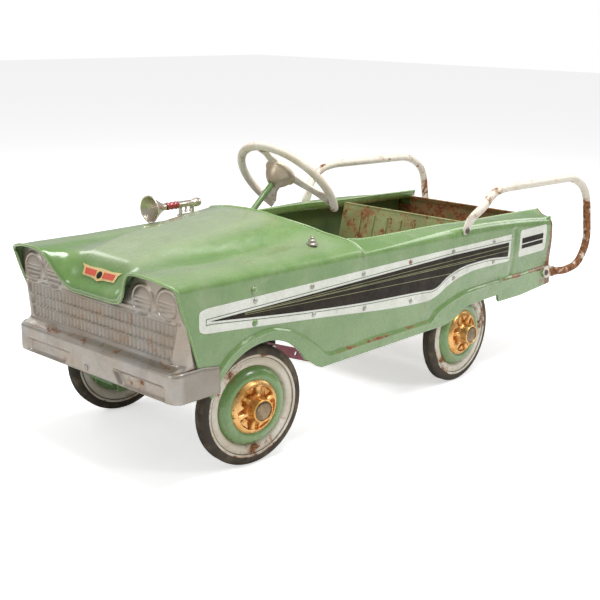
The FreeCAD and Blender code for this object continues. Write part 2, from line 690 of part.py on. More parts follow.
def hanger_bracket():
    """Cross bar under the cowl with a pivot stud for each hanger."""
    bars = []
    for side in (-1, 1):
        top = hanger_top(side)
        outward = LEFTWARD * side
        stud = rod(top - outward * 4.75, top + outward * 5.5, 4)
        keeper = rod(top + outward * 1.6, top + outward * 5.5, 7)
        low_y, high_y = sorted((top.y - side * 4.75, top.y - side * 1.65))
        lug = box((top.x - 8, low_y, top.z - 8), (top.x + 8, high_y, 318))
        bars.append(joined([lug, stud, keeper]))
    middle = hanger_top(1).x
    beam = box((middle - 8, -203, 318), (middle + 8, 203, 321))
    return joined([beam] + bars)


def rear_axle_bracket(side):
    """Plate down from the floor with a round seat for the axle's ball bearing."""
    low_y, high_y = sorted((side * 124, side * 127))
    outline = [(REAR_AXLE_X - 15, 84), (REAR_AXLE_X + 15, 84), (REAR_AXLE_X + 24, 110),
               (REAR_AXLE_X + 46, SEAT_Z), (REAR_AXLE_X - 13, SEAT_Z), (REAR_AXLE_X - 24, 110)]
    plate = plate_xz(outline, low_y, high_y)
    flange_low, flange_high = sorted((side * 108, side * 127))
    flange = box((REAR_AXLE_X - 13, flange_low, SEAT_Z - 3), (REAR_AXLE_X + 46, flange_high, SEAT_Z))
    seat = rod(V(REAR_AXLE_X, low_y - 5, AXLE_Z), V(REAR_AXLE_X, high_y + 5, AXLE_Z), BEARING_R)
    return joined([plate, flange]).cut(seat)


def rear_bearing(side):
    low_y, high_y = sorted((side * 121, side * 130))
    start = V(REAR_AXLE_X, low_y, AXLE_Z)
    end = V(REAR_AXLE_X, high_y, AXLE_Z)
    return ring(start, end, BEARING_R, AXLE_R + RUNNING_GAP)


# Rails, horn and small fittings

RAIL_PATH = [(-558, 318), (-578, 349), (-624, 385), (-666, 391), (-950, 384), (-1012, 350), (-1036, 231),
             (-1000, 183), (-930, 178), (-884, 180)]
RAIL_BENDS = [0, 40, 40, 60, 50, 60, 60, 50, 40, 0]


def smooth_path(points, radii):
    """Straight runs joined by tangent arcs."""
    edges = []
    start = points[0]
    for index in range(1, len(points) - 1):
        corner = points[index]
        before = corner - points[index - 1]
        after = points[index + 1] - corner
        turn = before.getAngle(after)
        back = before.normalize()
        ahead = after.normalize()
        reach = min(radii[index] * turn / 2, 0.48 * (corner - points[index - 1]).Length,
                    0.48 * (points[index + 1] - corner).Length)
        arc_start = corner - back * reach
        arc_end = corner + ahead * reach
        bisector = (ahead - back).normalize()
        radius = reach / sin(turn / 2) * cos(turn / 2)
        to_centre = radius / cos(turn / 2)
        middle = corner + bisector * (to_centre - radius)
        edges.append(Part.makeLine(start, arc_start))
        edges.append(Part.Arc(arc_start, middle, arc_end).toShape())
        start = arc_end
    edges.append(Part.makeLine(start, points[-1]))
    return Part.Wire(edges)


def luggage_rail():
    """Bent tube beside the cargo bed, flattened at both feet; drawn on the left."""
    points = [V(x, RAIL_Y, z) for x, z in RAIL_PATH]
    path = smooth_path(points, RAIL_BENDS)
    section = Part.Wire(Part.makeCircle(RAIL_TUBE_R, points[0], points[1] - points[0]))
    tube = path.makePipeShell([section], True, False)
    feet = []
    for x, z in (RAIL_PATH[0], RAIL_PATH[-1]):
        wall_y = foot_wall_y(z)
        feet.append(rod(V(x, wall_y, z), V(x, RAIL_Y, z), RAIL_FOOT_R))
    whole = joined([tube] + feet)
    for x, z in (RAIL_PATH[0], RAIL_PATH[-1]):
        whole = whole.cut(rod(V(x, 190, z), V(x, 240, z), 3.2))
    return whole


def foot_wall_y(z):
    """Where a rail foot meets the outer face of the body."""
    return side_y(z + RAIL_FOOT_R) + 0.6


def rail_bolt(x, z):
    wall_y = foot_wall_y(z)
    shank = rod(V(x, wall_y - 8, z), V(x, 233, z), 3.2)
    head = rod(V(x, RAIL_Y + RAIL_TUBE_R, z), V(x, RAIL_Y + RAIL_TUBE_R + 0.4, z), 6)
    return joined([shank, head])


def horn_bell():
    start = V(-78, HORN_Y, HORN_Z)
    outer = Part.makeCone(25, 8, 34, start, V(-1, 0, 0))
    inner = Part.makeCone(23.5, 6, 34, start, V(-1, 0, 0))
    return outer.cut(inner)


def horn_neck():
    core = rod(V(-112, HORN_Y, HORN_Z), V(-148, HORN_Y, HORN_Z), 4.5)
    beads = []
    for step in range(4):
        start = V(-113.5 - 9 * step, HORN_Y, HORN_Z)
        bead = rod(start, start - FORWARD * 6, 6.5)
        beads.append(bead.makeFillet(1.8, bead.Edges[:1] + bead.Edges[2:]))
    return joined([core] + beads)


def horn_barrel():
    barrel = rod(V(-148, HORN_Y, HORN_Z), V(-196, HORN_Y, HORN_Z), 6.5)
    end = V(-196, HORN_Y, HORN_Z)
    return joined([barrel, rod(end, end - FORWARD * 7, 8), Part.makeSphere(6, end - FORWARD * 6)])


def horn_bracket():
    """Two small posts and a foot that hold the horn to the right fender."""
    posts = [box((x - 2, HORN_Y - 3, 346), (x + 2, HORN_Y + 3, HORN_Z - 6.5)) for x in (-158, -188)]
    foot = box((-192, HORN_Y - 6, 345), (-154, HORN_Y + 6, 347.5))
    return joined(posts + [foot])


def fender_bolt():
    base = V(-160, 165, 344.5)
    return joined([rod(base, base + UP * 2.5, 8), rod(base + UP * 2, base + UP * 9, 5.5),
                   Part.makeSphere(5, base + UP * 9)])


def domed_rivets():
    """Dome-headed rivets that fix the fender brackets and the bumper to the side panels."""
    panel = side_panel()
    heads = []
    for x, z in ((20, 303), (17, 250), (-700, 176), (-830, 176)):
        y = side_y(z)
        head = Part.makeSphere(5, V(x, y - 1.5, z)).common(box((x - 8, y - 0.7, z - 8), (x + 8, y + 8, z + 8)))
        head = head.cut(panel)
        heads += [head, mirrored(head)]
    return heads


def write_all():
    save("hood", [hood()])
    save("left_side_panel", [side_panel()])
    save("right_side_panel", [mirrored(side_panel())])
    save("top_rails", [top_rail(), mirrored(top_rail())])
    save("grille_bumper", [grille_bumper()])
    save("seat_pan", [seat_pan()])
    save("seat_back", [seat_back()])
    save("cargo_floor", [cargo_floor()])
    save("tailgate", [tailgate()])
    save("front_axle_beam", [front_axle_beam()])
    save("kingpins", [kingpin(1), kingpin(-1)])
    save("undercarriage", [undercarriage()])
    save("fender_brackets", [fender_bracket(1), fender_bracket(-1)])
    save("left_spindle", [spindle(1)])
    save("right_spindle", [spindle(-1)])
    save("tie_rod", [tie_rod()])
    save("steering_column", [steering_column()])
    save("steering_wheel", [steering_rim()])
    save("steering_bell", [steering_bell()])
    save("steering_nut", [steering_nut()])
    save("column_brackets", [column_bracket(-40, 368.5), column_bracket(-318, 140.5)])
    wheel("front_left", KINGPIN_X, 1, AXLE_R + RUNNING_GAP, True)
    wheel("front_right", KINGPIN_X, -1, AXLE_R + RUNNING_GAP, True)
    wheel("rear_left", REAR_AXLE_X, 1, AXLE_R, False)
    wheel("rear_right", REAR_AXLE_X, -1, AXLE_R + RUNNING_GAP, False)
    save("front_left_nut", [axle_nut(KINGPIN_X, 1, True)])
    save("front_right_nut", [axle_nut(KINGPIN_X, -1, True)])
    save("rear_nuts", [axle_nut(REAR_AXLE_X, 1, False), axle_nut(REAR_AXLE_X, -1, False)])
    save("crank_axle", [crank_axle()])
    for name, side in (("left", 1), ("right", -1)):
        save("%s_pedal_rod" % name, [pedal_rod(side)])
        save("%s_pedal_bolt" % name, [pedal_bolt(side)])
        save("%s_pedal" % name, [pedal(side)])
        save("%s_hanger" % name, [hanger(side)])
    save("hanger_bracket", [hanger_bracket()])
    save("rear_axle_brackets", [rear_axle_bracket(1), rear_axle_bracket(-1)])
    save("rear_bearings", [rear_bearing(1), rear_bearing(-1)])
    rail = luggage_rail()
    save("left_luggage_rail", [rail])
    save("right_luggage_rail", [mirrored(rail)])
    bolts = [rail_bolt(x, z) for x, z in (RAIL_PATH[0], RAIL_PATH[-1])]
    save("rail_bolts", bolts + [mirrored(bolt) for bolt in bolts])
    save("horn_bell", [horn_bell()])
    save("horn_neck", [horn_neck()])
    save("horn_barrel", [horn_barrel()])
    save("horn_bracket", [horn_bracket()])
    save("body_fasteners", [fender_bolt()] + domed_rivets())


os.makedirs("parts", exist_ok=True)
write_all()
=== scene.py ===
import json
import math

import bpy
import numpy as np
from mathutils import Matrix, Vector


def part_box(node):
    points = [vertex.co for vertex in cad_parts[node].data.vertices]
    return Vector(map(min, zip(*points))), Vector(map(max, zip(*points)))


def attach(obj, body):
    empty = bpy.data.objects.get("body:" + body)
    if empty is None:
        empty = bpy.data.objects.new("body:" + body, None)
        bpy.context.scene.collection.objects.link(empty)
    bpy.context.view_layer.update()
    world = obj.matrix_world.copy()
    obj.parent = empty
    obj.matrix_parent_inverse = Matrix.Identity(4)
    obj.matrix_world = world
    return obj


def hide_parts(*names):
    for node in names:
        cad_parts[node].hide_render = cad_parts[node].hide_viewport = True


# The looks of a pressed-steel pedal car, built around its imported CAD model.
# Shapes are written in millimetres from the left front wheel's centre, with the ground at Z = 0,
# and turned into metres in the CAD frame by place().

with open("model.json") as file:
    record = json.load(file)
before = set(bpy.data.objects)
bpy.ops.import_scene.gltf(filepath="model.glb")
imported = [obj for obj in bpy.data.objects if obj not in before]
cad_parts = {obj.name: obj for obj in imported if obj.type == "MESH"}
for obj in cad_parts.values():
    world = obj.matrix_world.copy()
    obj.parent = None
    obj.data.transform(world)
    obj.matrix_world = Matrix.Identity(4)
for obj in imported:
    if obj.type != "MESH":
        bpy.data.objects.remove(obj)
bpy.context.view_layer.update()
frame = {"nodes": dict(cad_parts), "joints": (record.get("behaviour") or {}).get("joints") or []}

MM = 0.001
WHEELBASE = 592.5
BODY = "root"


def middle(node):
    low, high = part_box(node)
    return (low + high) / 2


FRONT_X = middle("rear_left_tyre").x + WHEELBASE * MM


def place(points):
    """Millimetre points from the front wheel to metres in the CAD frame."""
    scaled = np.asarray(points, float) * MM
    return scaled + np.array([FRONT_X, 0.0, 0.0])


# Curves and interpolation

def smooth_steps(knots, values, where):
    """Monotone cubic interpolation: passes through every knot without overshooting."""
    knots = np.asarray(knots, float)
    values = np.asarray(values, float)
    where = np.clip(np.asarray(where, float), knots[0], knots[-1])
    widths = np.diff(knots)
    slopes = np.diff(values) / widths
    tangents = np.zeros(len(knots))
    tangents[0] = slopes[0]
    tangents[-1] = slopes[-1]
    for i in range(1, len(knots) - 1):
        if slopes[i - 1] * slopes[i] > 0:
            left = 2 * widths[i] + widths[i - 1]
            right = widths[i] + 2 * widths[i - 1]
            tangents[i] = (left + right) / (left / slopes[i - 1] + right / slopes[i])
    index = np.clip(np.searchsorted(knots, where, side="right") - 1, 0, len(widths) - 1)
    width = widths[index]
    t = (where - knots[index]) / width
    value = (values[index] * (2 * t ** 3 - 3 * t ** 2 + 1) + values[index + 1] * (3 * t ** 2 - 2 * t ** 3))
    value += tangents[index] * width * (t ** 3 - 2 * t ** 2 + t)
    value += tangents[index + 1] * width * (t ** 3 - t ** 2)
    return value


def curve_of(points, where):
    """Smooth curve through (position, value) points, given in rising order of position."""
    return smooth_steps([p[0] for p in points], [p[1] for p in points], where)


def step(low, high, value):
    """0 below low, 1 above high, smooth between."""
    t = np.clip((np.asarray(value, float) - low) / (high - low), 0, 1)
    return t * t * (3 - 2 * t)


def bump(centre, half_width, value):
    """A smooth ridge of height 1 at the centre that reaches 0 at half_width."""
    distance = np.abs(np.asarray(value, float) - centre) / half_width
    return 1 - step(0, 1, distance)


# Mesh pieces

def finish_piece(obj, material, body, stands_for=()):
    """Give a piece its material and its body, and hide the CAD parts it stands for."""
    if not obj.data.materials:
        obj.data.materials.append(material)
    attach(obj, body)
    if stands_for:
        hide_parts(*stands_for)
    return obj


def mesh_object(name, points, faces, smooth=True):
    """A mesh object from points already in metres."""
    mesh = bpy.data.meshes.new(name)
    mesh.from_pydata([tuple(p) for p in points], [], faces)
    mesh.validate()
    if smooth:
        mesh.polygons.foreach_set("use_smooth", [True] * len(mesh.polygons))
    mesh.update()
    obj = bpy.data.objects.new(name, mesh)
    bpy.context.scene.collection.objects.link(obj)
    return obj


def grid_faces(rows, columns, close_columns=False):
    """Four-sided faces of a grid of points stored row by row."""
    faces = []
    for r in range(rows - 1):
        for c in range(columns if close_columns else columns - 1):
            a = r * columns + c
            b = r * columns + (c + 1) % columns
            faces.append((a, b, b + columns, a + columns))
    return faces


def add_modifier(obj, kind, **settings):
    modifier = obj.modifiers.new(kind.lower(), kind)
    for key, value in settings.items():
        setattr(modifier, key, value)
    return modifier


def sharpen(obj, degrees=40):
    """Smooth shading that keeps edges sharper than an angle."""
    obj.data.set_sharp_from_angle(angle=math.radians(degrees))


def merged(obj, distance=0.00002):
    add_modifier(obj, "WELD", merge_threshold=distance)


def set_attribute(obj, name, values):
    attribute = obj.data.attributes.new(name, "FLOAT", "POINT")
    attribute.data.foreach_set("value", np.asarray(values, np.float32))


def lathe_points(profile, segments, wobble=None):
    """Rings of (forward, outward, up) points about an axle: profile holds (radius, outward)."""
    rings = []
    for radius, out in profile:
        ring = []
        for k in range(segments):
            angle = 2 * math.pi * k / segments
            r, o = (radius, out) if wobble is None else wobble(radius, out, angle)
            ring.append((r * math.cos(angle), o, r * math.sin(angle)))
        rings.append(ring)
    return np.array(rings)


def axle_matrix(position, outward):
    """Places (forward, outward, up) millimetres at an axle: outward is measured from the car's middle."""
    out = Vector(outward).normalized()
    up = Vector((0, 0, 1))
    forward = out.cross(up) * (1 if out.y > 0 else -1)
    matrix = Matrix((forward, out, up)).transposed().to_4x4()
    return Matrix.Translation(position) @ matrix @ Matrix.Scale(MM, 4)


def transformed(points, matrix):
    flat = np.asarray(points, float).reshape(-1, 3)
    moved = flat @ np.array(matrix.to_3x3()).T + np.array(matrix.translation)
    return moved


def tube(name, centre_line, radii, sides=16, squash=None, up=(0, 0, 1)):
    """A round bar along points in millimetres, with a radius at each point, closed at both ends."""
    line = np.asarray(centre_line, float)
    tangents = np.gradient(line, axis=0)
    tangents /= np.linalg.norm(tangents, axis=1)[:, None]
    side = np.cross(tangents[0], np.array(up, float))
    side /= np.linalg.norm(side)
    points = []
    for index, (centre, tangent) in enumerate(zip(line, tangents)):
        side = side - tangent * side.dot(tangent)
        side /= np.linalg.norm(side)
        other = np.cross(tangent, side)
        radius = radii[index] if np.ndim(radii) else radii
        wide, thick = (radius, radius) if squash is None else squash(index, radius)
        for k in range(sides):
            angle = 2 * math.pi * k / sides
            points.append(centre + side * wide * math.cos(angle) + other * thick * math.sin(angle))
    faces = grid_faces(len(line), sides, close_columns=True)
    faces.append(tuple(range(sides))[::-1])
    last = (len(line) - 1) * sides
    faces.append(tuple(range(last, last + sides)))
    return mesh_object(name, place(points), faces)


def bent_line(corners, radius, spacing=6.0):
    """Points along straight runs joined by round bends."""
    points = [np.array(p, float) for p in corners]
    radii = radius if np.ndim(radius) else [radius] * len(points)
    line = [points[0]]
    for index in range(1, len(points) - 1):
        corner = points[index]
        back = points[index - 1] - corner
        ahead = points[index + 1] - corner
        reach = min(radii[index], np.linalg.norm(back) * 0.48, np.linalg.norm(ahead) * 0.48)
        start = corner + back / np.linalg.norm(back) * reach
        end = corner + ahead / np.linalg.norm(ahead) * reach
        for t in np.linspace(0, 1, 9):
            line.append((1 - t) ** 2 * start + 2 * t * (1 - t) * corner + t ** 2 * end)
    line.append(points[-1])
    dense = [line[0]]
    for a, b in zip(line, line[1:]):
        count = max(1, int(np.linalg.norm(b - a) / spacing))
        for k in range(1, count + 1):
            dense.append(a + (b - a) * k / count)
    return np.array(dense)


# Material nodes

class Shader:
    """Short ways to add and join nodes in one material."""

    def __init__(self, name):
        self.material = bpy.data.materials.new(name)
        self.material.use_nodes = True
        self.tree = self.material.node_tree
        self.surface = self.tree.nodes["Principled BSDF"]
        self.where = self.add("ShaderNodeTexCoord").outputs["Object"]

    def add(self, kind, **settings):
        node = self.tree.nodes.new(kind)
        for key, value in settings.items():
            setattr(node, key, value)
        return node

    def join(self, source, socket):
        if isinstance(source, bpy.types.NodeSocket):
            self.tree.links.new(source, socket)
        else:
            socket.default_value = source

    def math(self, operation, a, b=0.0, clamp=False):
        node = self.add("ShaderNodeMath", operation=operation, use_clamp=clamp)
        self.join(a, node.inputs[0])
        self.join(b, node.inputs[1])
        return node.outputs[0]

    def noise(self, scale, detail=4.0, rough=0.6, stretch=None, warp=0.0):
        node = self.add("ShaderNodeTexNoise")
        node.inputs["Scale"].default_value = scale
        node.inputs["Detail"].default_value = detail
        node.inputs["Roughness"].default_value = rough
        node.inputs["Distortion"].default_value = warp
        self.join(self.stretched(stretch) if stretch else self.where, node.inputs["Vector"])
        return node.outputs["Fac"]

    def stretched(self, scales):
        node = self.add("ShaderNodeMapping")
        node.inputs["Scale"].default_value = scales
        self.join(self.where, node.inputs["Vector"])
        return node.outputs["Vector"]

    def attribute(self, name):
        return self.add("ShaderNodeAttribute", attribute_name=name).outputs["Fac"]

    def between(self, value, low, high):
        node = self.add("ShaderNodeMapRange", interpolation_type="SMOOTHSTEP")
        self.join(value, node.inputs["Value"])
        node.inputs["From Min"].default_value = low
        node.inputs["From Max"].default_value = high
        return node.outputs["Result"]

    def mix(self, amount, a, b):
        node = self.add("ShaderNodeMix", data_type="RGBA")
        self.join(amount, node.inputs["Factor"])
        self.join(a, node.inputs["A"])
        self.join(b, node.inputs["B"])
        return node.outputs["Result"]

    def blend(self, amount, a, b):
        node = self.add("ShaderNodeMix", data_type="FLOAT")
        self.join(amount, node.inputs["Factor"])
        self.join(a, node.inputs["A"])
        self.join(b, node.inputs["B"])
        return node.outputs["Result"]

    def height(self, value, strength, distance):
        node = self.add("ShaderNodeBump")
        node.inputs["Strength"].default_value = strength
        node.inputs["Distance"].default_value = distance
        self.join(value, node.inputs["Height"])
        self.join(node.outputs["Normal"], self.surface.inputs["Normal"])


def colour(red, green, blue):
    """An sRGB colour given as 0 to 255, in Blender's linear values."""
    linear = []
    for part in (red, green, blue):
        part /= 255
        linear.append(part / 12.92 if part <= 0.04045 else ((part + 0.055) / 1.055) ** 2.4)
    return (*linear, 1.0)


RUST_DARK = colour(84, 52, 30)
RUST_BRIGHT = colour(158, 104, 60)
GREEN = colour(114, 150, 86)
GREEN_DEEP = colour(98, 138, 70)
# pale green for faded patches and for the painted highlight on the body's tops
GREEN_FADE_AND_HIGHLIGHT = colour(164, 176, 144)
# darker copy of the body green: painted shade on the body's inner faces and under the car
GREEN_PAINTED_SHADE = colour(98, 124, 70)
CREAM = colour(228, 222, 208)
CREAM_DIRTY = colour(206, 194, 174)
SILVER = colour(180, 176, 170)
SILVER_WARM = colour(176, 164, 150)


def worn_paint(name, base, shade, fade_and_painted_light=None, rough=0.38, rust=0.62, spots=0.70, metallic=0.0,
               coat=0.0, specular=0.5, grime=colour(96, 84, 62)):
    """Old enamel on steel: uneven colour, patches in the fade colour, specks, and rust where the paint has
    gone.

    A mesh attribute also pulls the colour to the fade colour as painted light: painted highlight on the
    body's tops, painted shade on the silver front pressing.
    rust is the noise level above which rust breaks through, and the mesh attribute "rust" lowers it.
    """
    shader = Shader(name)
    tone = shader.between(shader.noise(14, 4), 0.35, 0.65)
    paint = shader.mix(tone, base, shade)
    if fade_and_painted_light:
        patches = shader.between(shader.noise(16, 6, 0.62, warp=0.4), 0.50, 0.72)
        patchy = shader.math("MULTIPLY", patches, 0.35)
        # painted light: a mesh attribute pulls the colour to the fade colour, as painted highlight on the
        # body's tops and painted shade on the silver front pressing
        painted_light_mask = shader.math("MULTIPLY", shader.attribute("fade_and_painted_light"), shader.blend(patches, 0.75, 1.0))
        paint = shader.mix(shader.math("MAXIMUM", patchy, painted_light_mask), paint, fade_and_painted_light)
    fine = shader.between(shader.noise(260, 3), 0.35, 0.75)
    paint = shader.mix(shader.math("MULTIPLY", fine, 0.16), paint, grime)
    stains = shader.between(shader.noise(22, 6, 0.65), 0.56, 0.80)
    paint = shader.mix(shader.math("MULTIPLY", stains, 0.35), paint, grime)
    specks = shader.between(shader.noise(420, 2), spots, spots + 0.03)
    broad = shader.noise(38, 9, 0.68, warp=0.3)
    pushed = shader.math("ADD", broad, shader.math("MULTIPLY", shader.attribute("rust"), 0.34))
    eaten = shader.between(pushed, rust, rust + 0.035)
    halo = shader.between(pushed, rust - 0.07, rust)
    rust_tone = shader.between(shader.noise(150, 5, 0.7), 0.35, 0.65)
    rust_colour = shader.mix(rust_tone, RUST_DARK, RUST_BRIGHT)
    paint = shader.mix(shader.math("MULTIPLY", halo, 0.45), paint, RUST_BRIGHT)
    paint = shader.mix(eaten, paint, rust_colour)
    paint = shader.mix(specks, paint, RUST_DARK)
    shader.join(paint, shader.surface.inputs["Base Color"])
    scuffs = shader.between(shader.noise(55, 5), 0.3, 0.8)
    shine = shader.blend(scuffs, rough - 0.06, rough + 0.14)
    shader.join(shader.blend(shader.math("MAXIMUM", eaten, specks), shine, 0.85),
                shader.surface.inputs["Roughness"])
    if metallic:
        bare = shader.math("SUBTRACT", 1.0, eaten)
        shader.join(shader.math("MULTIPLY", bare, metallic), shader.surface.inputs["Metallic"])
    shader.surface.inputs["Coat Weight"].default_value = coat
    shader.surface.inputs["Specular IOR Level"].default_value = specular
    shader.surface.inputs["Coat Roughness"].default_value = 0.14
    relief = shader.math("ADD", shader.math("MULTIPLY", eaten, -0.6), shader.noise(700, 2))
    shader.height(relief, 0.22, 0.0006)
    return shader.material


def rubber(name, base, dusty, rough=0.75):
    shader = Shader(name)
    dust = shader.between(shader.noise(30, 6), 0.42, 0.75)
    shader.join(shader.mix(dust, base, dusty), shader.surface.inputs["Base Color"])
    shader.join(shader.blend(dust, rough - 0.15, rough + 0.1), shader.surface.inputs["Roughness"])
    shader.surface.inputs["Specular IOR Level"].default_value = 0.35
    shader.height(shader.noise(900, 3), 0.25, 0.0004)
    return shader.material


def bare_metal(name, base, rust=0.6, rough=0.32, tint=None, metallic=1.0):
    """Plated or plain steel with orange rust growing through."""
    shader = Shader(name)
    tone = shader.between(shader.noise(40, 5), 0.35, 0.7)
    metal = shader.mix(tone, base, tint or base)
    level = shader.noise(70, 9, 0.7, warp=0.5)
    pushed = shader.math("ADD", level, shader.math("MULTIPLY", shader.attribute("rust"), 0.34))
    eaten = shader.between(pushed, rust, rust + 0.08)
    rust_tone = shader.between(shader.noise(210, 5, 0.7), 0.35, 0.65)
    rusty = shader.mix(rust_tone, RUST_DARK, RUST_BRIGHT)
    shader.join(shader.mix(eaten, metal, rusty), shader.surface.inputs["Base Color"])
    bare = shader.math("SUBTRACT", 1.0, eaten)
    shader.join(shader.math("MULTIPLY", bare, metallic), shader.surface.inputs["Metallic"])
    scuffed = shader.blend(shader.between(shader.noise(90, 5), 0.3, 0.7), rough - 0.08, rough + 0.12)
    shader.join(shader.blend(eaten, scuffed, 0.85), shader.surface.inputs["Roughness"])
    relief = shader.math("ADD", shader.math("MULTIPLY", eaten, 0.5), shader.noise(500, 3))
    shader.height(relief, 0.3, 0.0006)
    return shader.material


MATERIALS = {
    "green": worn_paint("green_enamel", GREEN, GREEN_DEEP, GREEN_FADE_AND_HIGHLIGHT, rough=0.27, rust=0.80, spots=0.76,
                        coat=0.9, grime=colour(128, 106, 64)),
    # darker green for inner faces and the undercarriage: painted shade
    "green_inside": worn_paint("green_inside", GREEN_PAINTED_SHADE, colour(80, 112, 66), colour(110, 138, 92),
                               rough=0.5, rust=0.72, spots=0.76),
    "seat": worn_paint("rusty_green", colour(150, 156, 104), colour(128, 138, 88), colour(160, 152, 108),
                       rough=0.55, rust=0.56, spots=0.64),
    "bed": worn_paint("rusty_bed", colour(132, 124, 84), colour(116, 104, 66), colour(136, 128, 90),
                      rough=0.7, rust=0.50, spots=0.62),
    # its fade colour is also the painted shade on the front pressing
    "silver": worn_paint("silver_paint", SILVER, SILVER_WARM, colour(118, 108, 92), rough=0.36, rust=0.72,
                         spots=0.72, metallic=0.7, grime=colour(140, 112, 86)),
    "cream": worn_paint("cream_paint", CREAM, CREAM_DIRTY, colour(222, 216, 204), rough=0.42, rust=0.68,
                        spots=0.72, grime=colour(150, 134, 108)),
    "maroon": worn_paint("maroon_paint", colour(150, 14, 54), colour(118, 8, 40), rough=0.35, rust=0.82,
                         spots=0.78, coat=0.2),
    "black_steel": worn_paint("black_steel", colour(52, 50, 46), colour(40, 38, 34), rough=0.55,
                              rust=0.62, spots=0.7),
    "steel": bare_metal("bare_steel", colour(172, 166, 156), rust=0.60, rough=0.4),
    "chrome": bare_metal("worn_chrome", colour(236, 188, 124), rust=0.68, rough=0.28,
                         tint=colour(212, 154, 76), metallic=0.85),
    "bright": bare_metal("bright_plate", colour(206, 200, 190), rust=0.70, rough=0.26),
    "tyre": rubber("tyre_rubber", colour(58, 51, 40), colour(112, 100, 80)),
    "pedal": rubber("pedal_rubber", colour(48, 44, 40), colour(92, 84, 72)),
    "red": worn_paint("red_lacquer", colour(176, 22, 34), colour(140, 14, 26), rough=0.2, rust=0.86,
                      spots=0.82, coat=0.6),
    "white": worn_paint("white_trim", colour(232, 234, 224), colour(222, 224, 212), rough=0.35, rust=0.84,
                        spots=0.78, coat=0.25),
    "black": worn_paint("black_trim", colour(34, 25, 13), colour(24, 17, 9), rough=0.5, specular=0.2,
                        rust=0.86, spots=0.80),
    "fine_line": worn_paint("pale_line", colour(158, 160, 116), colour(130, 134, 92), rough=0.45,
                            rust=0.85, spots=0.70),
    "rivet": worn_paint("rivet_steel", colour(186, 188, 178), colour(160, 162, 150), rough=0.3, rust=0.60,
                        spots=0.74, metallic=0.6),
    "pinline": worn_paint("green_pinline", colour(52, 84, 46), colour(66, 98, 56), rough=0.45, rust=0.85,
                          spots=0.82),
    "plate_cream": worn_paint("plate_cream", colour(228, 206, 150), colour(210, 180, 120), rough=0.4,
                              rust=0.72, spots=0.7),
    "plate_red": worn_paint("plate_red", colour(214, 92, 70), colour(200, 78, 58), rough=0.4, rust=0.72,
                            spots=0.7),
    "cap_face": bare_metal("cap_face", colour(150, 132, 108), rust=0.72, rough=0.22,
                           tint=colour(104, 88, 66)),
    # a lighter green than the body: painted highlight along the rolled edges
    "bead": worn_paint("edge_painted_highlight", colour(146, 174, 114), colour(128, 160, 98), colour(176, 190, 150),
                       rough=0.28, rust=0.76, spots=0.74, coat=0.4),
    "rail": worn_paint("rail_cream", CREAM, colour(222, 214, 198), rough=0.42, rust=0.66, spots=0.70,
                       grime=colour(150, 128, 100)),
    "cream_bell": worn_paint("cream_bell", colour(200, 186, 164), colour(184, 166, 142), rough=0.34,
                             rust=0.74, spots=0.78, metallic=0.35),
    "horn": bare_metal("horn_bright", colour(222, 212, 196), rust=0.80, rough=0.3),
    "old_bolt": bare_metal("old_bolt", colour(110, 100, 94), rust=0.66, rough=0.5),
}


def finished(obj, look, body=BODY, stands_for=()):
    return finish_piece(obj, MATERIALS[look], body, stands_for)


# Body pressing: hood, fender tops and sides as one skin

HALF = 206.0                    # fender crease from the centre line
PANEL = 1.2                     # sheet thickness
COWL_X = -250.0                 # the cowl's outer corner
TAIL_X = -903.0
RAIL_IN = 165.0                 # inner edge of the rails beside the cockpit

# Hood: distance from the centre line, then (x, z) from the front edge to the cowl
HOOD = [
    (0, [(173, 282), (175, 286), (163, 303), (149, 325), (138, 339), (112, 347), (52, 359), (-46, 368),
         (-120, 375), (-172, 380)]),
    (48, [(173, 282), (175, 286), (163, 303), (149, 325), (138, 339), (112, 347), (52, 359), (-46, 367),
          (-120, 374), (-172, 378)]),
    (62, [(173, 284), (175, 289), (164, 306), (150, 326), (138, 338), (112, 344), (52, 357), (-46, 365),
          (-120, 371), (-173, 376)]),
    (80, [(179, 300), (180, 305), (168, 318), (152, 331), (138, 337), (110, 340), (52, 349), (-46, 362),
          (-120, 368), (-176, 373.5)]),
    (97, [(188, 327), (186, 333), (174, 337), (155, 338), (135, 338), (105, 339), (52, 341), (-46, 357),
          (-120, 365), (-181, 370)]),
    (112, [(193, 341), (188, 343), (174, 342), (155, 341), (135, 339), (105, 338), (52, 338), (-46, 347),
           (-120, 359), (-188, 366.5)]),
    (128, [(194, 344), (188, 344), (174, 343), (155, 343), (135, 342), (105, 341), (52, 339), (-46, 341),
           (-120, 349), (-199, 360.5)]),
    (145, [(194, 344), (188, 344), (174, 343), (155, 343), (135, 342), (105, 342), (52, 341), (-46, 341),
           (-120, 344), (-215, 351.5)]),
    (162, [(193, 343), (188, 343), (174, 343), (155, 343), (135, 342), (105, 342), (52, 341), (-46, 341),
           (-120, 342), (-235, 343)]),
    (185, [(188, 338), (184, 338), (170, 338), (150, 338), (132, 338), (100, 337), (52, 336), (-46, 336),
           (-120, 335), (-250, 334)]),
    (HALF, [(179, 332), (175, 332), (164, 331), (146, 331), (130, 331), (100, 330), (52, 329), (-46, 327),
            (-120, 325), (-250, 322)]),
]
CREASE = [(-905, 297), (-760, 310), (-624, 318), (-509, 321), (-250, 322), (0, 328), (180, 332)]
RAIL_EDGE = [(-905, 313), (-760, 318), (-624, 322), (-500, 328), (-400, 330), (-300, 333), (-250, 339)]
SIDE = [(130, 197), (150, 198), (204, 200.8), (260, 206), (345, 206)]
LOWER = [(-914, 152), (-797, 144.5), (-707, 146), (-703, 162), (-608, 161), (-584, 159), (-565, 149),
         (-537, 137.5), (-517, 135), (-152, 135.5), (-137, 142), (-110, 160)]
FRONT_EDGE = [(105, 145), (133, 204.5), (154, 259), (169, 297), (179, 331)]
ARCH = (-6, 93, 121)
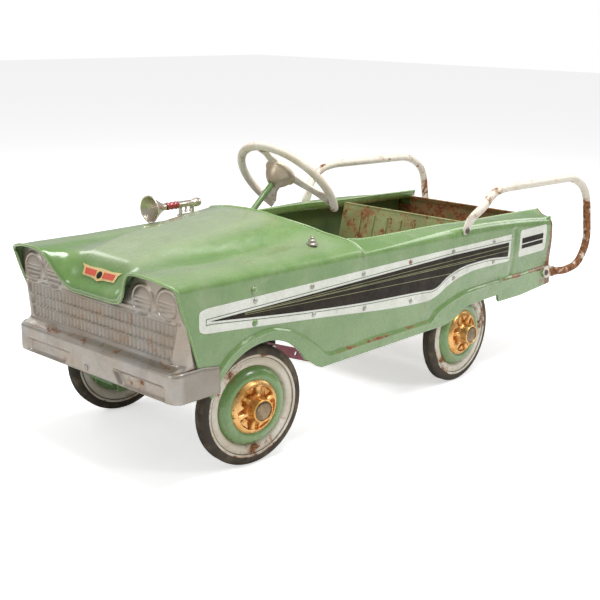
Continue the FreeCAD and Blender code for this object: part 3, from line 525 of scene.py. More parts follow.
SWAGE = [(-926, 191), (-665, 193), (-575, 191), (-541, 185), (-508, 177), (-486, 170), (-466, 153),
         (-296, 156), (-182, 154), (-164, 157), (-140, 176), (-110, 197), (-67, 220),
         (-29, 231.5), (-7, 232), (17, 229),
         (44, 223), (71, 208), (97, 184), (118, 152)]
GROOVE_X = (-738.0, -760.0)


def side_y(z):
    """Half width of the side panel at a height."""
    return curve_of(SIDE, z)


def lower_z(x):
    """Height of the side panel's lower edge, with the front wheel arch."""
    x = np.asarray(x, float)
    centre_x, centre_z, radius = ARCH
    arch = centre_z + np.sqrt(np.clip(radius ** 2 - (x - centre_x) ** 2, 0, None))
    rear = np.interp(x, [p[0] for p in LOWER], [p[1] for p in LOWER])
    front = np.interp(x, [p[0] for p in FRONT_EDGE], [p[1] for p in FRONT_EDGE])
    return np.where(x < -110, rear, np.where(x < 105, arch, front))


def tail_shift(x, y, z):
    """Draws the last stretch back so that the tail ends on its slanting rear edge."""
    low_end = np.interp(z, (145, 290), (-914, -901))
    fin_end = np.interp(np.abs(y), (165, 180, 206), (-903, -897, -897))
    end = low_end + (fin_end - low_end) * step(285, 306, z)
    return x + (end - TAIL_X) * step(-800, TAIL_X, x)


def crown_radius(x):
    """How round the edge between side and top is: tight at the front, a half-round fin at the tail."""
    return 8.0 + 11.0 * step(-250, -560, x)


def side_relief(x, z):
    """How far the pressed shape of the side stands out from the plain panel."""
    line = np.interp(x, [p[0] for p in SWAGE], [p[1] for p in SWAGE])
    slope = np.interp(x + 3, [p[0] for p in SWAGE], [p[1] for p in SWAGE]) - line
    distance = (line - z) / np.sqrt(1 + (slope / 3) ** 2)
    swage = 4.0 * step(-1.6, 1.6, distance) + 1.2 * bump(0, 3.0, distance - 3)
    groove_middle = sum(GROOVE_X) / 2
    groove = 2.4 * bump(groove_middle, 13, x) * step(192, 200, z)
    return swage - groove


def side_point(x, z, lift=0.0):
    """A point on the left side panel's outer face."""
    return np.stack([x, side_y(z) + side_relief(x, z) + lift, z], axis=-1)


def hood_grid(rows, columns):
    """Points of the hood from the front edge (first row) to the cowl, left half, centre line first."""
    lines = []
    for across, profile in HOOD:
        profile = np.array(profile, float)
        along = np.concatenate([[0], np.cumsum(np.linalg.norm(np.diff(profile, axis=0), axis=1))])
        where = np.linspace(0, along[-1], rows)
        lines.append((smooth_steps(along, profile[:, 0], where), smooth_steps(along, profile[:, 1], where)))
    stations = [across for across, _ in HOOD]
    flat = HALF - crown_radius(0)
    across = np.linspace(0, flat, columns)
    grid = np.zeros((rows, columns + 5, 3))
    for r in range(rows):
        xs = smooth_steps(stations, [line[0][r] for line in lines], across)
        zs = smooth_steps(stations, [line[1][r] for line in lines], across)
        grid[r, :columns] = np.stack([xs, across, zs], axis=-1)
        corner_x = lines[-1][0][r]
        corner_z = lines[-1][1][r]
        for k in range(5):
            angle = math.pi / 2 * (k + 1) / 5
            radius = crown_radius(0)
            grid[r, columns + k] = (xs[-1] + (corner_x - xs[-1]) * (k + 1) / 5,
                                    flat + radius * math.sin(angle),
                                    corner_z + (zs[-1] - corner_z) * (1 - (k + 1) / 5)
                                    - radius * (1 - math.cos(angle)))
    return grid


def rail_grid(xs):
    """Points of the top rail beside the cockpit, from the inner flange outwards."""
    grid = []
    for x in xs:
        radius = crown_radius(x)
        inner = float(curve_of(RAIL_EDGE, x))
        crease = float(curve_of(CREASE, x))
        flat = HALF - radius
        row = [(RAIL_IN + 1.5, inner - 16), (RAIL_IN, inner - 3), (RAIL_IN + 1, inner - 0.6),
               (RAIL_IN + 3, inner)]
        top_z = crease + 0.5 * (radius - 8)
        for k in range(1, 9):
            t = k / 8
            row.append((RAIL_IN + 3 + (flat - RAIL_IN - 3) * t, inner + (top_z - inner) * t))
        for k in range(1, 6):
            angle = math.pi / 2 * k / 5
            row.append((flat + radius * math.sin(angle), top_z - radius * (1 - math.cos(angle))))
        grid.append([(x, y, z) for y, z in row])
    return np.array(grid)


def side_grid(top_line, rows):
    """Points of the side below a top line of (x, y, z), ending in a turned-in edge."""
    xs = top_line[:, 0]
    grid = []
    bottom = np.minimum(lower_z(xs), top_line[:, 2] - 0.05)
    for t in np.linspace(0, 1, rows):
        zs = top_line[:, 2] + (bottom - top_line[:, 2]) * t
        row = side_point(xs, zs)
        if t == 0:
            row[:, 1] = top_line[:, 1]
        grid.append(row)
    for inward, rise in ((1.2, -0.7), (5.0, 0.0)):
        edge = side_point(xs, bottom)
        edge[:, 1] -= inward
        edge[:, 2] += rise
        grid.append(edge)
    return np.array(grid)


def facing(faces, points, direction):
    """Turn all faces over if, taken together, they look against the wanted direction."""
    total = np.zeros(3)
    for face in faces[::7]:
        a, b, c = (points[i] for i in face[:3])
        total += np.cross(b - a, c - a)
    if total.dot(direction) < 0:
        return [face[::-1] for face in faces]
    return faces


def body_skin():
    """Hood, rails and both sides in one sheet."""
    hood = hood_grid(130, 56)
    rails = rail_grid(np.linspace(COWL_X, TAIL_X, 190))
    edge = np.concatenate([hood[:, -1], rails[1:, -1]])
    side = side_grid(edge, 62)
    points = []
    faces = []
    for grid in (rails, side):
        grid[..., 0] = tail_shift(grid[..., 0], grid[..., 1], grid[..., 2])
    for grid, direction in ((hood, (0, 0, 1)), (rails, (0, 0, 1)), (side, (0, 1, 0))):
        for mirror in (1, -1):
            placed = grid.reshape(-1, 3) * np.array([1, mirror, 1])
            start = len(points)
            flat = grid_faces(grid.shape[0], grid.shape[1])
            wanted = np.array(direction) * np.array([1, mirror, 1])
            turned = facing(flat, placed, wanted)
            faces += [tuple(i + start for i in face) for face in turned]
            points += list(placed)
    points = np.array(points)
    obj = mesh_object("body_skin", place(points), faces)
    xs, ys, zs = points.T
    rust = 0.85 * bump(154, 7, zs) * step(-150, -190, xs) * step(-520, -440, xs)
    rust += 0.80 * bump(191, 8, zs) * step(-640, -700, xs)
    rust += 0.35 * step(-600, -860, xs) * step(230, 160, zs)
    rust += 0.9 * step(-889, -895, xs) + 0.3 * step(-800, -890, xs)
    rust += 0.25 * step(175, 181, xs) * step(170, 200, zs)
    set_attribute(obj, "rust", rust)
    # painted highlight: the hood dome's top and the fender tops are lightened towards the pale green
    painted_highlight_top = step(110, 55, np.abs(ys)) * step(322, 344, zs) * step(-190, -150, xs) * 0.85
    fender = step(120, 140, np.abs(ys)) * step(328, 338, zs) * step(-240, -180, xs) * 0.45
    set_attribute(obj, "fade_and_painted_light", painted_highlight_top + fender)
    obj.data.materials.append(MATERIALS["green"])
    # the inner faces take the darker green as painted shade
    obj.data.materials.append(MATERIALS["green_inside"])
    merged(obj, 0.00003)
    add_modifier(obj, "SOLIDIFY", thickness=PANEL * MM, offset=-1, material_offset=1, material_offset_rim=0)
    return finished(obj, "green", stands_for=("hood", "left_side_panel", "right_side_panel", "top_rails"))


def tail_corner(side, mirror):
    """Plate that closes the body's rear corner between the tailgate and the fin."""
    points = []
    for z in np.linspace(150, 303, 8):
        end = np.interp(z, (145, 290), (-914, -901)) + 7
        for y in np.linspace(158, float(side_y(z)) - 1.5, 5):
            points.append((end, mirror * y, z))
    points = np.array(points)
    faces = facing(grid_faces(8, 5), points, np.array([-1, 0, 0]))
    obj = mesh_object(side + "_tail_corner", place(points), faces)
    set_attribute(obj, "rust", np.full(len(points), 0.3))
    add_modifier(obj, "SOLIDIFY", thickness=PANEL * MM, offset=-1)
    finished(obj, "green")


def edge_bead(name, line, radius):
    """A rolled edge along a line."""
    # the lighter bead green is a painted highlight along the edge
    finished(tube(name, line, radius, sides=8), "bead")


def rolled_edges():
    """Rolled beads along the brow, the cowl, the rails and the front edges, and the plates at the tail."""
    hood = hood_grid(130, 56)
    for end, name in ((0, "brow_bead"), (-1, "cowl_bead")):
        left = hood[end]
        line = np.concatenate([left[::-1], (left * np.array([1, -1, 1]))[1:]])
        line = line[::2] - np.array([2.4 if end == 0 else 0.0, 0, 1.0])
        edge_bead(name, line, 2.6 if end == 0 else 3.0)
    for mirror, side in ((1, "left"), (-1, "right")):
        xs = np.linspace(COWL_X, TAIL_X, 60)
        line = np.array([(x, mirror * (RAIL_IN + 1.2), float(curve_of(RAIL_EDGE, x)) - 0.8) for x in xs])
        edge_bead(side + "_rail_bead", line, 2.2)
        front = [(x - 0.4, mirror * float(side_y(z)), z) for x, z in FRONT_EDGE[1:]][::-1]
        edge_bead(side + "_front_bead", bent_line(front, 30), 2.2)
        tail_corner(side, mirror)


# Side trim: white band with a dark spear, painted plates, rivets

BAND_TOP = [(-734, 285.5), (-385, 289.5), (112, 293), (135, 293)]
BAND_LOW = [(-734, 229), (-610, 231), (-562, 226), (-520, 215), (-480, 199), (-456, 195), (-430, 196),
            (-122, 228), (112, 253), (135, 255)]
SPEAR_TOP = [(-726, 270), (-525, 274.3), (-115, 272.6), (110, 272)]
SPEAR_LOW = [(-726, 240), (-640, 247), (-590, 247), (-551, 244), (-510, 233), (-478, 217), (-466, 215.5),
             (-438, 218), (-258, 230.5), (-122, 243.5), (110, 271)]


BAND_LIFT = 0.22                # trim stands off the panel, each layer above the last
SPEAR_LIFT = 0.40
LINE_LIFT = 0.55
PINLINE_GAP = 4.6               # from the spear's edge to the pinline's outer edge
PINLINE_WIDE = 1.1


def straight(points, x):
    return np.interp(x, [p[0] for p in points], [p[1] for p in points])


def strip_on_side(name, look, xs, top, low, lift, mirror, rows=8):
    """A thin sheet on the side panel between two lines of heights."""
    grid = []
    for t in np.linspace(0, 1, rows):
        grid.append(side_point(xs, top + (low - top) * t, lift))
    points = np.array(grid).reshape(-1, 3) * np.array([1, mirror, 1])
    faces = facing(grid_faces(rows, len(xs)), points, np.array([0, mirror, 0]))
    obj = mesh_object(name, place(points), faces)
    return finished(obj, look)


def band_heights(xs):
    """The band's upper and lower line, rounded at the nose and squared at the tail."""
    top = straight(BAND_TOP, xs)
    low = curve_of(BAND_LOW, xs)
    middle_z = (top + low) / 2 + 2
    nose = np.sqrt(np.clip(1 - np.clip((xs - 113) / 22, 0, 1) ** 2, 0, 1))
    pinch = 0.45 + 0.55 * nose ** 0.6
    return middle_z + (top - middle_z) * pinch, middle_z + (low - middle_z) * pinch


def side_trim(side, mirror):
    """White band, dark spear with its fine lines, and the pinline round it."""
    xs = np.concatenate([np.linspace(-734, 112, 150), np.linspace(114, 135, 22)])
    top, low = band_heights(xs)
    strip_on_side(side + "_band", "white", xs, top, low, BAND_LIFT, mirror, rows=14)
    spear_xs = np.linspace(-726, 110, 150)
    spear_top = straight(SPEAR_TOP, spear_xs)
    spear_low = curve_of(SPEAR_LOW, spear_xs)
    strip_on_side(side + "_spear", "black", spear_xs, spear_top, spear_low,
                  SPEAR_LIFT, mirror, rows=10)
    line_xs = np.concatenate([np.linspace(-732, 110, 150), np.linspace(112, 121, 6)])
    outer_top = straight(SPEAR_TOP, line_xs) + PINLINE_GAP
    outer_low = curve_of(SPEAR_LOW, line_xs) - PINLINE_GAP
    strip_on_side(side + "_pinline_top", "pinline", line_xs, outer_top,
                  outer_top - PINLINE_WIDE, SPEAR_LIFT, mirror, rows=2)
    strip_on_side(side + "_pinline_low", "pinline", line_xs, outer_low,
                  outer_low + PINLINE_WIDE, SPEAR_LIFT, mirror, rows=2)
    nose_xs = np.linspace(120, 121.2, 2)
    strip_on_side(side + "_pinline_nose", "pinline", nose_xs, outer_top[-2:], outer_low[-2:],
                  SPEAR_LIFT, mirror, rows=6)
    for number, (end_x, end_z) in enumerate(((-726, 262), (-726, 252.5), (-604, 252), (-522, 238))):
        xs = np.linspace(end_x, 40, 60)
        reach = (110 - xs) / (110 - end_x)
        height = 271.5 + (end_z - 271.5) * reach
        half = 0.25 + 0.35 * reach
        strip_on_side("%s_spear_line_%d" % (side, number), "fine_line", xs, height + half, height - half,
                      LINE_LIFT, mirror, rows=2)
    rear_panel(side, mirror)
    rivets(side, mirror)


def rear_panel(side, mirror):
    """Small white panel behind the groove, with two dark bars."""
    xs = np.linspace(-878, -769, 40)
    from_end = np.clip(np.minimum(xs + 878, -769 - xs) / 6, 0, 1)
    corner = 6 * (1 - np.sqrt(np.clip(1 - (1 - from_end) ** 2, 0, 1)))
    strip_on_side(side + "_rear_panel", "white", xs, 288.5 - corner, 231 + corner, BAND_LIFT, mirror)
    bar_xs = np.linspace(-864, -778, 20)
    strip_on_side(side + "_rear_bar_top", "black", bar_xs,
                  np.full_like(bar_xs, 271), np.full_like(bar_xs, 259.5), SPEAR_LIFT, mirror)
    strip_on_side(side + "_rear_bar_low", "black", bar_xs,
                  np.full_like(bar_xs, 257), np.full_like(bar_xs, 248.5), SPEAR_LIFT, mirror)


def dome(name, look, centre, radius, height, mirror):
    """A rivet head on the side panel, centre given as (x, z)."""
    rings = 5
    segments = 14
    points = []
    for ring in range(rings):
        angle = math.pi / 2 * ring / rings
        for k in range(segments):
            turn = 2 * math.pi * k / segments
            x = centre[0] + radius * math.cos(angle) * math.cos(turn)
            z = centre[1] + radius * math.cos(angle) * math.sin(turn)
            y = float(side_y(z) + side_relief(x, z)) + height * math.sin(angle)
            points.append((x, mirror * y, z))
    tip_y = float(side_y(centre[1])) + height
    points.append((centre[0], mirror * tip_y, centre[1]))
    faces = grid_faces(rings, segments, close_columns=True)
    last = (rings - 1) * segments
    faces += [(last + k, last + (k + 1) % segments, rings * segments) for k in range(segments)]
    obj = mesh_object(name, place(np.array(points)), faces)
    rim_grime = [1.2 * (index < segments) for index in range(len(points))]
    set_attribute(obj, "rust", rim_grime)
    finished(obj, look)


def rivets(side, mirror):
    """Rivets along the white band and the two large green domes ahead of it."""
    upper = [(x, float(straight(BAND_TOP, x)) - 6.5) for x in (17, -116, -250, -386, -524, -667)]
    lower = [(x, float(curve_of(BAND_LOW, x)) + 7.5) for x in (-123, -260, -399, -533, -672)]
    for number, centre in enumerate(upper + lower):
        dome("%s_rivet_%d" % (side, number), "rivet", centre, 4.8, 3.0, mirror)
    for number, centre in enumerate(((20, 303), (17, 250))):
        dome("%s_body_rivet_%d" % (side, number), "green", centre, 6.2, 3.4, mirror)


# Front pressing: grille, lamps and bumper

GRILLE_X = 163.0
BUMPER_X = 181.0
BUMPER_LOW = 152.0
BUMPER_HIGH = 200.0
LAMPS = ((113, 296), (170, 298))
LAMP_R = 25.0
GRILLE_ROWS = (215.5, 232.7, 250.4, 268.5)
RIB_SPACING = 9.6


def front_edge_x(z):
    return np.interp(z, [p[1] for p in FRONT_EDGE], [p[0] for p in FRONT_EDGE])


def rib_shape(side):
    """One at the middle of each upright rib of the grille, nought between the ribs."""
    cell = side % RIB_SPACING
    return bump(0, 2.4, np.minimum(cell, RIB_SPACING - cell))


def painted_shade_depth(x, y, z):
    """Painted shade on the front: darker between the grille's ribs, in a ring round each lamp and on the
    bumper's ends.
    """
    side = np.abs(y)
    inside = step(178, 174, side - (z - 215) * 0.26) * step(213, 217, z) * step(271, 267, z)
    shade_amount = 0.55 * (1 - rib_shape(side)) * inside
    for lamp_y, lamp_z in LAMPS:
        shade_amount = shade_amount + 0.5 * bump(LAMP_R - 4.5, 2.5, np.hypot(side - lamp_y, z - lamp_z))
    shade_amount = shade_amount + 0.7 * step(172, 160, x) * step(203.2, 204, side) * step(205, 199, z)
    return np.clip(shade_amount, 0, 1)


def grille_relief(y, z):
    """How far the pressed grille, lamps and frame stand out from their plate."""
    side = np.abs(y)
    frame_edge = 176 + (z - 215) * 0.26
    inside = step(-2.5, 2.5, frame_edge - side) * step(212, 217, z) * step(272, 267, z)
    height = -3.0 * inside
    height += 1.8 * bump(0, 4.5, frame_edge + 2 - side) * step(207, 213, z) * step(279, 273, z)
    height += 1.8 * (bump(212, 4.5, z) + bump(272, 4.0, z)) * step(4, 0, side - frame_edge - 3)
    height += 1.3 * bump(281, 3.5, z) * step(-4, 0, 196 - side)
    for row in GRILLE_ROWS[1:-1]:
        height += 2.6 * bump(row, 2.6, z) * inside
    height += 2.4 * rib_shape(side) * inside
    for lamp_y, lamp_z in LAMPS:
        across = side - lamp_y
        rise = z - lamp_z
        distance = np.sqrt(across ** 2 + rise ** 2)
        height += 2.4 * bump(LAMP_R, 3.6, distance)
        dome_height = 3.2 * np.sqrt(np.clip(1 - (distance / LAMP_R) ** 2, 0, 1))
        slats = np.abs(((rise + 60) % 7.2) - 3.6) / 3.6
        slatted = 1.7 * step(0.35, 0.75, slats) * step(6, 2, rise) * step(1, 4, LAMP_R - 3.5 - distance)
        height += dome_height - slatted
    return height


def grille_plate_points():
    ys = np.linspace(-205, 205, 329)
    zs = np.linspace(BUMPER_HIGH - 1, 341, 118)
    y, z = np.meshgrid(ys, zs)
    top = np.interp(np.abs(y), (0, 64, 80, 97, 110, 162, 185, 205), (291, 293, 310, 330, 338, 339, 334, 327))
    z = BUMPER_HIGH - 1 + (z - BUMPER_HIGH + 1) * (top - BUMPER_HIGH + 1) / (341 - BUMPER_HIGH + 1)
    side = np.abs(y)
    x = GRILLE_X + grille_relief(y, z)
    corner_start = 190 - 6 * step(260, 215, z)
    falling = np.clip((side - corner_start) / (205.2 - corner_start), 0, 1)
    back = np.minimum(front_edge_x(z) - 3, GRILLE_X)
    x += (back - GRILLE_X) * (1 - np.sqrt(np.clip(1 - falling ** 2, 0, 1)))
    ledge = step(212, BUMPER_HIGH - 1, z) ** 1.6
    ledge_face = BUMPER_X - 3 - (BUMPER_X - 3 - back) * 0.35 * step(188, 205, side)
    x += (ledge_face - x) * ledge * step(206, 196, side)
    side_limit = side_y(z) - 1.5
    y = np.sign(y) * np.minimum(side, side_limit)
    return np.stack([x, y, z], axis=-1)


BUMPER_END_Y = 204.5
BUMPER_CORNER = 17.0
BUMPER_REAR_X = 90.0


def bumper_line():
    """The bumper's plan from right rear round the front to left rear: x, y and outward direction."""
    bend_x = BUMPER_X - BUMPER_CORNER
    bend_y = BUMPER_END_Y - BUMPER_CORNER
    right = [(x, -BUMPER_END_Y, 0.0, -1.0) for x in np.linspace(BUMPER_REAR_X, bend_x, 24)]
    for angle in np.linspace(0, math.pi / 2, 12)[1:-1]:
        right.append((bend_x + BUMPER_CORNER * math.sin(angle), -bend_y - BUMPER_CORNER * math.cos(angle),
                      math.sin(angle), -math.cos(angle)))
    front = [(BUMPER_X, y, 1.0, 0.0) for y in np.linspace(-bend_y, bend_y, 250)]
    left = [(x, -y, ahead, -aside) for x, y, ahead, aside in reversed(right)]
    return np.array(right + front + left)


def bumper_recess(y, z):
    """Depth of the two sunken panels in the bumper's face."""
    side = np.abs(y)
    inner = 53 + (178 - z) * 0.75
    return 7.0 * step(0, 7, side - inner) * step(0, 9, 181 - side) * step(180, 172, z) * step(150, 158, z)


def bumper_points():
    line = bumper_line()
    profile = [(12, 0.0), (5, 0.0), (2, 0.8), (0.5, 2.6)]
    profile += [(0, h) for h in np.linspace(4.5, 43, 30)]
    profile += [(0.8, 45.5), (2.6, 47.4), (5, 48.3), (10, 49.2)]
    rows = []
    for inward, rise in profile:
        x = line[:, 0] - line[:, 2] * inward
        y = line[:, 1] - line[:, 3] * inward * np.where(np.abs(line[:, 3]) > 0.9, 0.35, 1.0)
        z = np.full(len(line), BUMPER_LOW + rise)
        on_front = line[:, 2] > 0.99
        x = x - np.where(on_front & (inward < 1), bumper_recess(y, z), 0)
        taper = step(130, 90, x) * (rise / 49)
        z = z - 5.0 * taper
        rows.append(np.stack([x, y, z], axis=-1))
    return np.array(rows)


def front_pressing():
    """Grille plate and bumper, stamped from one silver-painted sheet."""
    plate = grille_plate_points()
    bumper = bumper_points()
    points = []
    faces = []
    for grid in (plate, bumper):
        start = len(points)
        flat = grid.reshape(-1, 3)
        turned = facing(grid_faces(grid.shape[0], grid.shape[1]), flat, np.array([1, 0, 0]))
        faces += [tuple(i + start for i in face) for face in turned]
        points += list(flat)
    points = np.array(points)
    obj = mesh_object("front_pressing", place(points), faces)
    xs, ys, zs = points.T
    relief = grille_relief(ys, zs) * (zs > 212)
    rust = 0.45 * bump(203, 12, zs) + 0.22 * step(1.0, -3.0, relief) * (zs > 212) * (zs < 272)
    rust += 0.30 * bump(LAMPS[0][0], 34, np.abs(ys)) * step(322, 336, zs)
    rust += 0.25 * (zs < 172) * step(2, 6, bumper_recess(ys, zs))
    set_attribute(obj, "rust", rust)
    # painted shade: darker between the grille's ribs, in a ring round each lamp and on the bumper's ends
    set_attribute(obj, "fade_and_painted_light", painted_shade_depth(xs, ys, zs))
    add_modifier(obj, "SOLIDIFY", thickness=PANEL * MM, offset=-1)
    finished(obj, "silver", stands_for=("grille_bumper",))


def bumper_screw():
    """The half-covered screw in the middle of the bumper."""
    rings = lathe_points([(5.5, 0), (5.5, 0.8), (4.6, 1.6), (2.5, 2.1), (0.01, 2.3)], 20)
    points = np.stack([BUMPER_X + rings[..., 1], rings[..., 0] - 12, rings[..., 2] + 163], axis=-1)
    faces = facing(grid_faces(5, 20, close_columns=True), points.reshape(-1, 3), np.array([1, 0, 0]))
    obj = mesh_object("bumper_screw", place(points.reshape(-1, 3)), faces)
    finished(obj, "steel")


def prow_point(across, z, lift):
    """A point on the prow's sloping face, given its distance from the middle and its height."""
    profile = HOOD[0][1][1:5]
    x = np.interp(z, [q[1] for q in profile], [q[0] for q in profile])
    return (x + lift * 0.85, across, z + lift * 0.53)


def prow_plate():
    """A plain two-colour plate on the prow, with no mark on it."""
    wings = [(-50, 11), (-43, 5), (-40, -7), (-12, -8.5), (0, -12), (12, -8.5), (40, -7), (43, 5), (50, 11),
             (26, 9), (0, 10.5), (-26, 9)]
    bar = [(9, -5), (35, -4.5), (38, 5.5), (9, 5)]
    pieces = [("prow_plate", "plate_cream", wings, 0.9)]
    pieces.append(("prow_bar_left", "plate_red", bar, 1.9))
    pieces.append(("prow_bar_right", "plate_red", [(-across, rise) for across, rise in bar], 1.9))
    for name, look, outline, lift in pieces:
        points = np.array([prow_point(across, 314 + rise * 0.84, lift) for across, rise in outline])
        points += np.array([0.3, 0.0, 0.2])
        face = facing([tuple(range(len(outline)))], points, np.array([1, 0, 0.6]))
        obj = mesh_object(name, place(points), face, smooth=False)
        add_modifier(obj, "SOLIDIFY", thickness=0.5 * MM, offset=-1)
        finished(obj, look)
    turned("prow_boss", "black", BODY, prow_point(0, 313, 0.8), (0.85, 0, 0.53),
           [(6.5, 0), (6.5, 0.9), (5.4, 1.6), (2.8, 2.1), (0.01, 2.2)], 24)


def turned(name, look, body, origin, axis, profile, segments=48, stands_for=(), rust=None, sharp=None):
    """A turned piece: profile holds (radius, distance along the axis) from an origin in millimetres."""
    along = Vector(axis).normalized()
    first = along.orthogonal().normalized()
    second = along.cross(first)
    matrix = Matrix((first, along, second)).transposed().to_4x4()
    matrix = Matrix.Translation(place(origin)) @ matrix @ Matrix.Scale(MM, 4)
    return wheel_lathe(name, look, body, matrix, profile, segments, stands_for, None, rust, sharp)


# Wheels

def joint_of(name):
    return next(j for j in frame["joints"] if j["name"] == name)


def wheel_lathe(name, look, body, matrix, profile, segments=96, stands_for=(), wobble=None, rust=None,
                sharp=None):
    rings = lathe_points(profile, segments, wobble)
    flat = rings.reshape(-1, 3)
    faces = grid_faces(len(profile), segments, close_columns=True)
    placed = transformed(flat, matrix)
    probe = faces[len(faces) // 2 // segments * segments]
    corner, ahead, beyond = (placed[i] for i in probe[:3])
    middle_point = placed.reshape(len(profile), segments, 3).mean(axis=1)[len(faces) // 2 // segments]
    if np.cross(ahead - corner, beyond - corner).dot(corner - middle_point) < 0:
        faces = [face[::-1] for face in faces]
    obj = mesh_object(name, placed, faces)
    if rust is not None:
        radius = np.hypot(flat[:, 0], flat[:, 2])
        angle = np.arctan2(flat[:, 2], flat[:, 0])
        set_attribute(obj, "rust", rust(radius, angle, flat[:, 1]))
    if sharp:
        sharpen(obj, sharp)
    return finished(obj, look, body, stands_for)


def tyre_line():
    """Tyre section (radius, outward) from inside the rim round the tread, with grooves."""
    half = 12.0
    line = [(82, -half + 1), (90, -half), (94.5, -half + 0.4), (98.2, -half + 2.2), (100.2, -half + 4)]
    for middle_of_groove in (-5.2, -0.4, 4.4):
        line += [(101.4, middle_of_groove - 1.4), (100.1, middle_of_groove - 0.7),
                 (100.1, middle_of_groove + 0.7), (101.4, middle_of_groove + 1.4)]
    line += [(100.6, half - 4.5), (98.4, half - 2.2), (94.5, half - 0.4), (90, half), (85, half - 0.5),
             (82, half - 1.6)]
    return line


RIM_LINE = [(86.8, 6.0), (88.2, 8.4), (88.0, 11.2), (86.4, 12.6), (84.2, 12.3), (82.4, 9.8), (81.0, 9.2),
            (78.5, 10.6), (74.5, 10.9), (70.6, 10.2), (68.6, 8.2), (67.6, 5.6), (66.4, 4.6)]
DISH_LINE = [(67.0, 4.6), (65.6, 7.4), (63.0, 10.8), (59.0, 14.4), (54.5, 16.4), (50.0, 17.0), (46.5, 16.0),
             (43.5, 13.0), (41.0, 9.0), (36.0, 7.0), (20.0, 6.5), (16.5, 6.4)]


def hubcap_wobble(radius, out, angle):
    """Six pockets pressed into the cap between its hub and its rim."""
    if radius < 19.5 or radius > 38.5:
        return radius, out
    turn = (angle * 6 / (2 * math.pi)) % 1.0
    pocket = float(step(0.10, 0.20, turn) * step(0.90, 0.80, turn))
    band = float(step(21.5, 24.0, radius) * step(37.5, 35.0, radius))
    return radius, out - 10.0 * pocket * band


CAP_LINE = [(48.2, 2.0), (48.6, 6.0), (48.0, 10.0), (46.6, 13.6), (44.4, 16.6), (41.8, 18.8), (39.4, 20.2),
            (37.6, 20.8), (36.4, 20.6), (35.4, 19.6), (33.0, 19.4), (30.0, 19.8), (27.0, 20.4), (24.5, 21.2),
            (22.4, 22.4), (21.0, 24.0), (20.2, 26.0), (20.0, 30.0), (19.8, 36.0), (19.3, 38.6), (18.2, 39.6),
            (16.9, 39.4), (16.3, 38.2)]
FACE_LINE = [(16.5, 38.0), (16.0, 38.9), (12.0, 39.3), (6.0, 39.5), (0.02, 39.55)]


def wheel(corner, body, joint):
    """One wheel: tyre, cream rim, green dish, hubcap and its cracked pressings."""
    axle = joint_of(joint)
    outward = 1 if "left" in corner else -1
    axis = Vector(axle["axis"])
    if axis.y * outward < 0:
        axis = -axis
    matrix = axle_matrix(middle(corner + "_tyre"), axis)
    turn = {"front_left": 0.35, "front_right": 1.1, "rear_left": 2.0, "rear_right": 2.9}[corner]
    matrix = matrix @ Matrix.Rotation(turn, 4, "Y")

    def rim_rust(radius, angle, out):
        return 0.10 + 0.30 * bump(1.2, 0.6, angle) + 0.35 * bump(-1.3, 0.9, angle) + 0.25 * (radius > 85)

    def dish_rust(radius, angle, out):
        return 0.70 * step(50, 43, radius) + 0.30 * step(62, 67, radius) + 0.40 * bump(1.4, 0.7, angle)

    def cap_rust(radius, angle, out):
        return 0.42 * step(40, 46, radius) + 0.16 * bump(0.5, 1.2, angle)

    wheel_lathe(corner + "_tyre_tread", "tyre", body, matrix, tyre_line(), 120,
                stands_for=(corner + "_tyre",), sharp=50)
    back = [(r, -o) for r, o in RIM_LINE[::-1]]
    dish_back = [(r, -4.6 - 0.15 * (67 - r)) for r, _ in DISH_LINE[::-1]]
    wheel_lathe(corner + "_rim", "cream", body, matrix, RIM_LINE, rust=rim_rust,
                stands_for=(corner + "_wheel_disc",))
    wheel_lathe(corner + "_rim_inside", "cream", body, matrix, back, rust=rim_rust)
    wheel_lathe(corner + "_dish", "green", body, matrix, DISH_LINE, rust=dish_rust)
    wheel_lathe(corner + "_dish_inside", "green", body, matrix, dish_back, rust=dish_rust)
    wheel_lathe(corner + "_cap", "chrome", body, matrix, CAP_LINE, 144, stands_for=(corner + "_hubcap",),
                wobble=hubcap_wobble, rust=cap_rust, sharp=35)
    wheel_lathe(corner + "_cap_face", "cap_face", body, matrix, FACE_LINE, 48)
    cap_tabs(corner, body, matrix)


def cap_tabs(corner, body, matrix):
    """Bent triangular tabs punched out of the cap's pockets."""
    points = []
    faces = []
    for k in range(6):
        middle_angle = 2 * math.pi * (k + 0.5) / 6
        lift = (5.5, 2.0, 6.5, 3.0, 5.0, 1.5)[k]
        start = len(points)
        for radius, spread, out in ((36.0, -0.22, 18.0), (36.0, 0.22, 18.0), (25.5, 0.02, 14.5 + lift)):
            angle = middle_angle + spread
            points.append((radius * math.cos(angle), out, radius * math.sin(angle)))
        faces.append((start, start + 1, start + 2))
    obj = mesh_object(corner + "_cap_tabs", transformed(points, matrix), faces, smooth=False)
    add_modifier(obj, "SOLIDIFY", thickness=0.6 * MM, offset=0)
    finished(obj, "chrome", body)


def wheels():
    wheel("front_left", "front_left_wheel", "front_left_roll")
    wheel("front_right", "front_right_wheel", "front_right_roll")
    wheel("rear_left", "rear_axle", "drive")
    wheel("rear_right", "rear_right_wheel", "rear_right_roll")


# Steering wheel

COLUMN_TILT = 40.7
COLUMN_CROSSING = np.array([-183.0, 0.0, 374.0])
COLUMN_REST = -6.644            # degrees the column is turned at rest
HUB_PLANE = 91.5
RIM_CENTRE = -28.6              # the rim's centre lies below the hub in the wheel's plane
RIM_R = 100.0
RIM_GAP = 55                    # degrees each side of the bottom where the rim is open


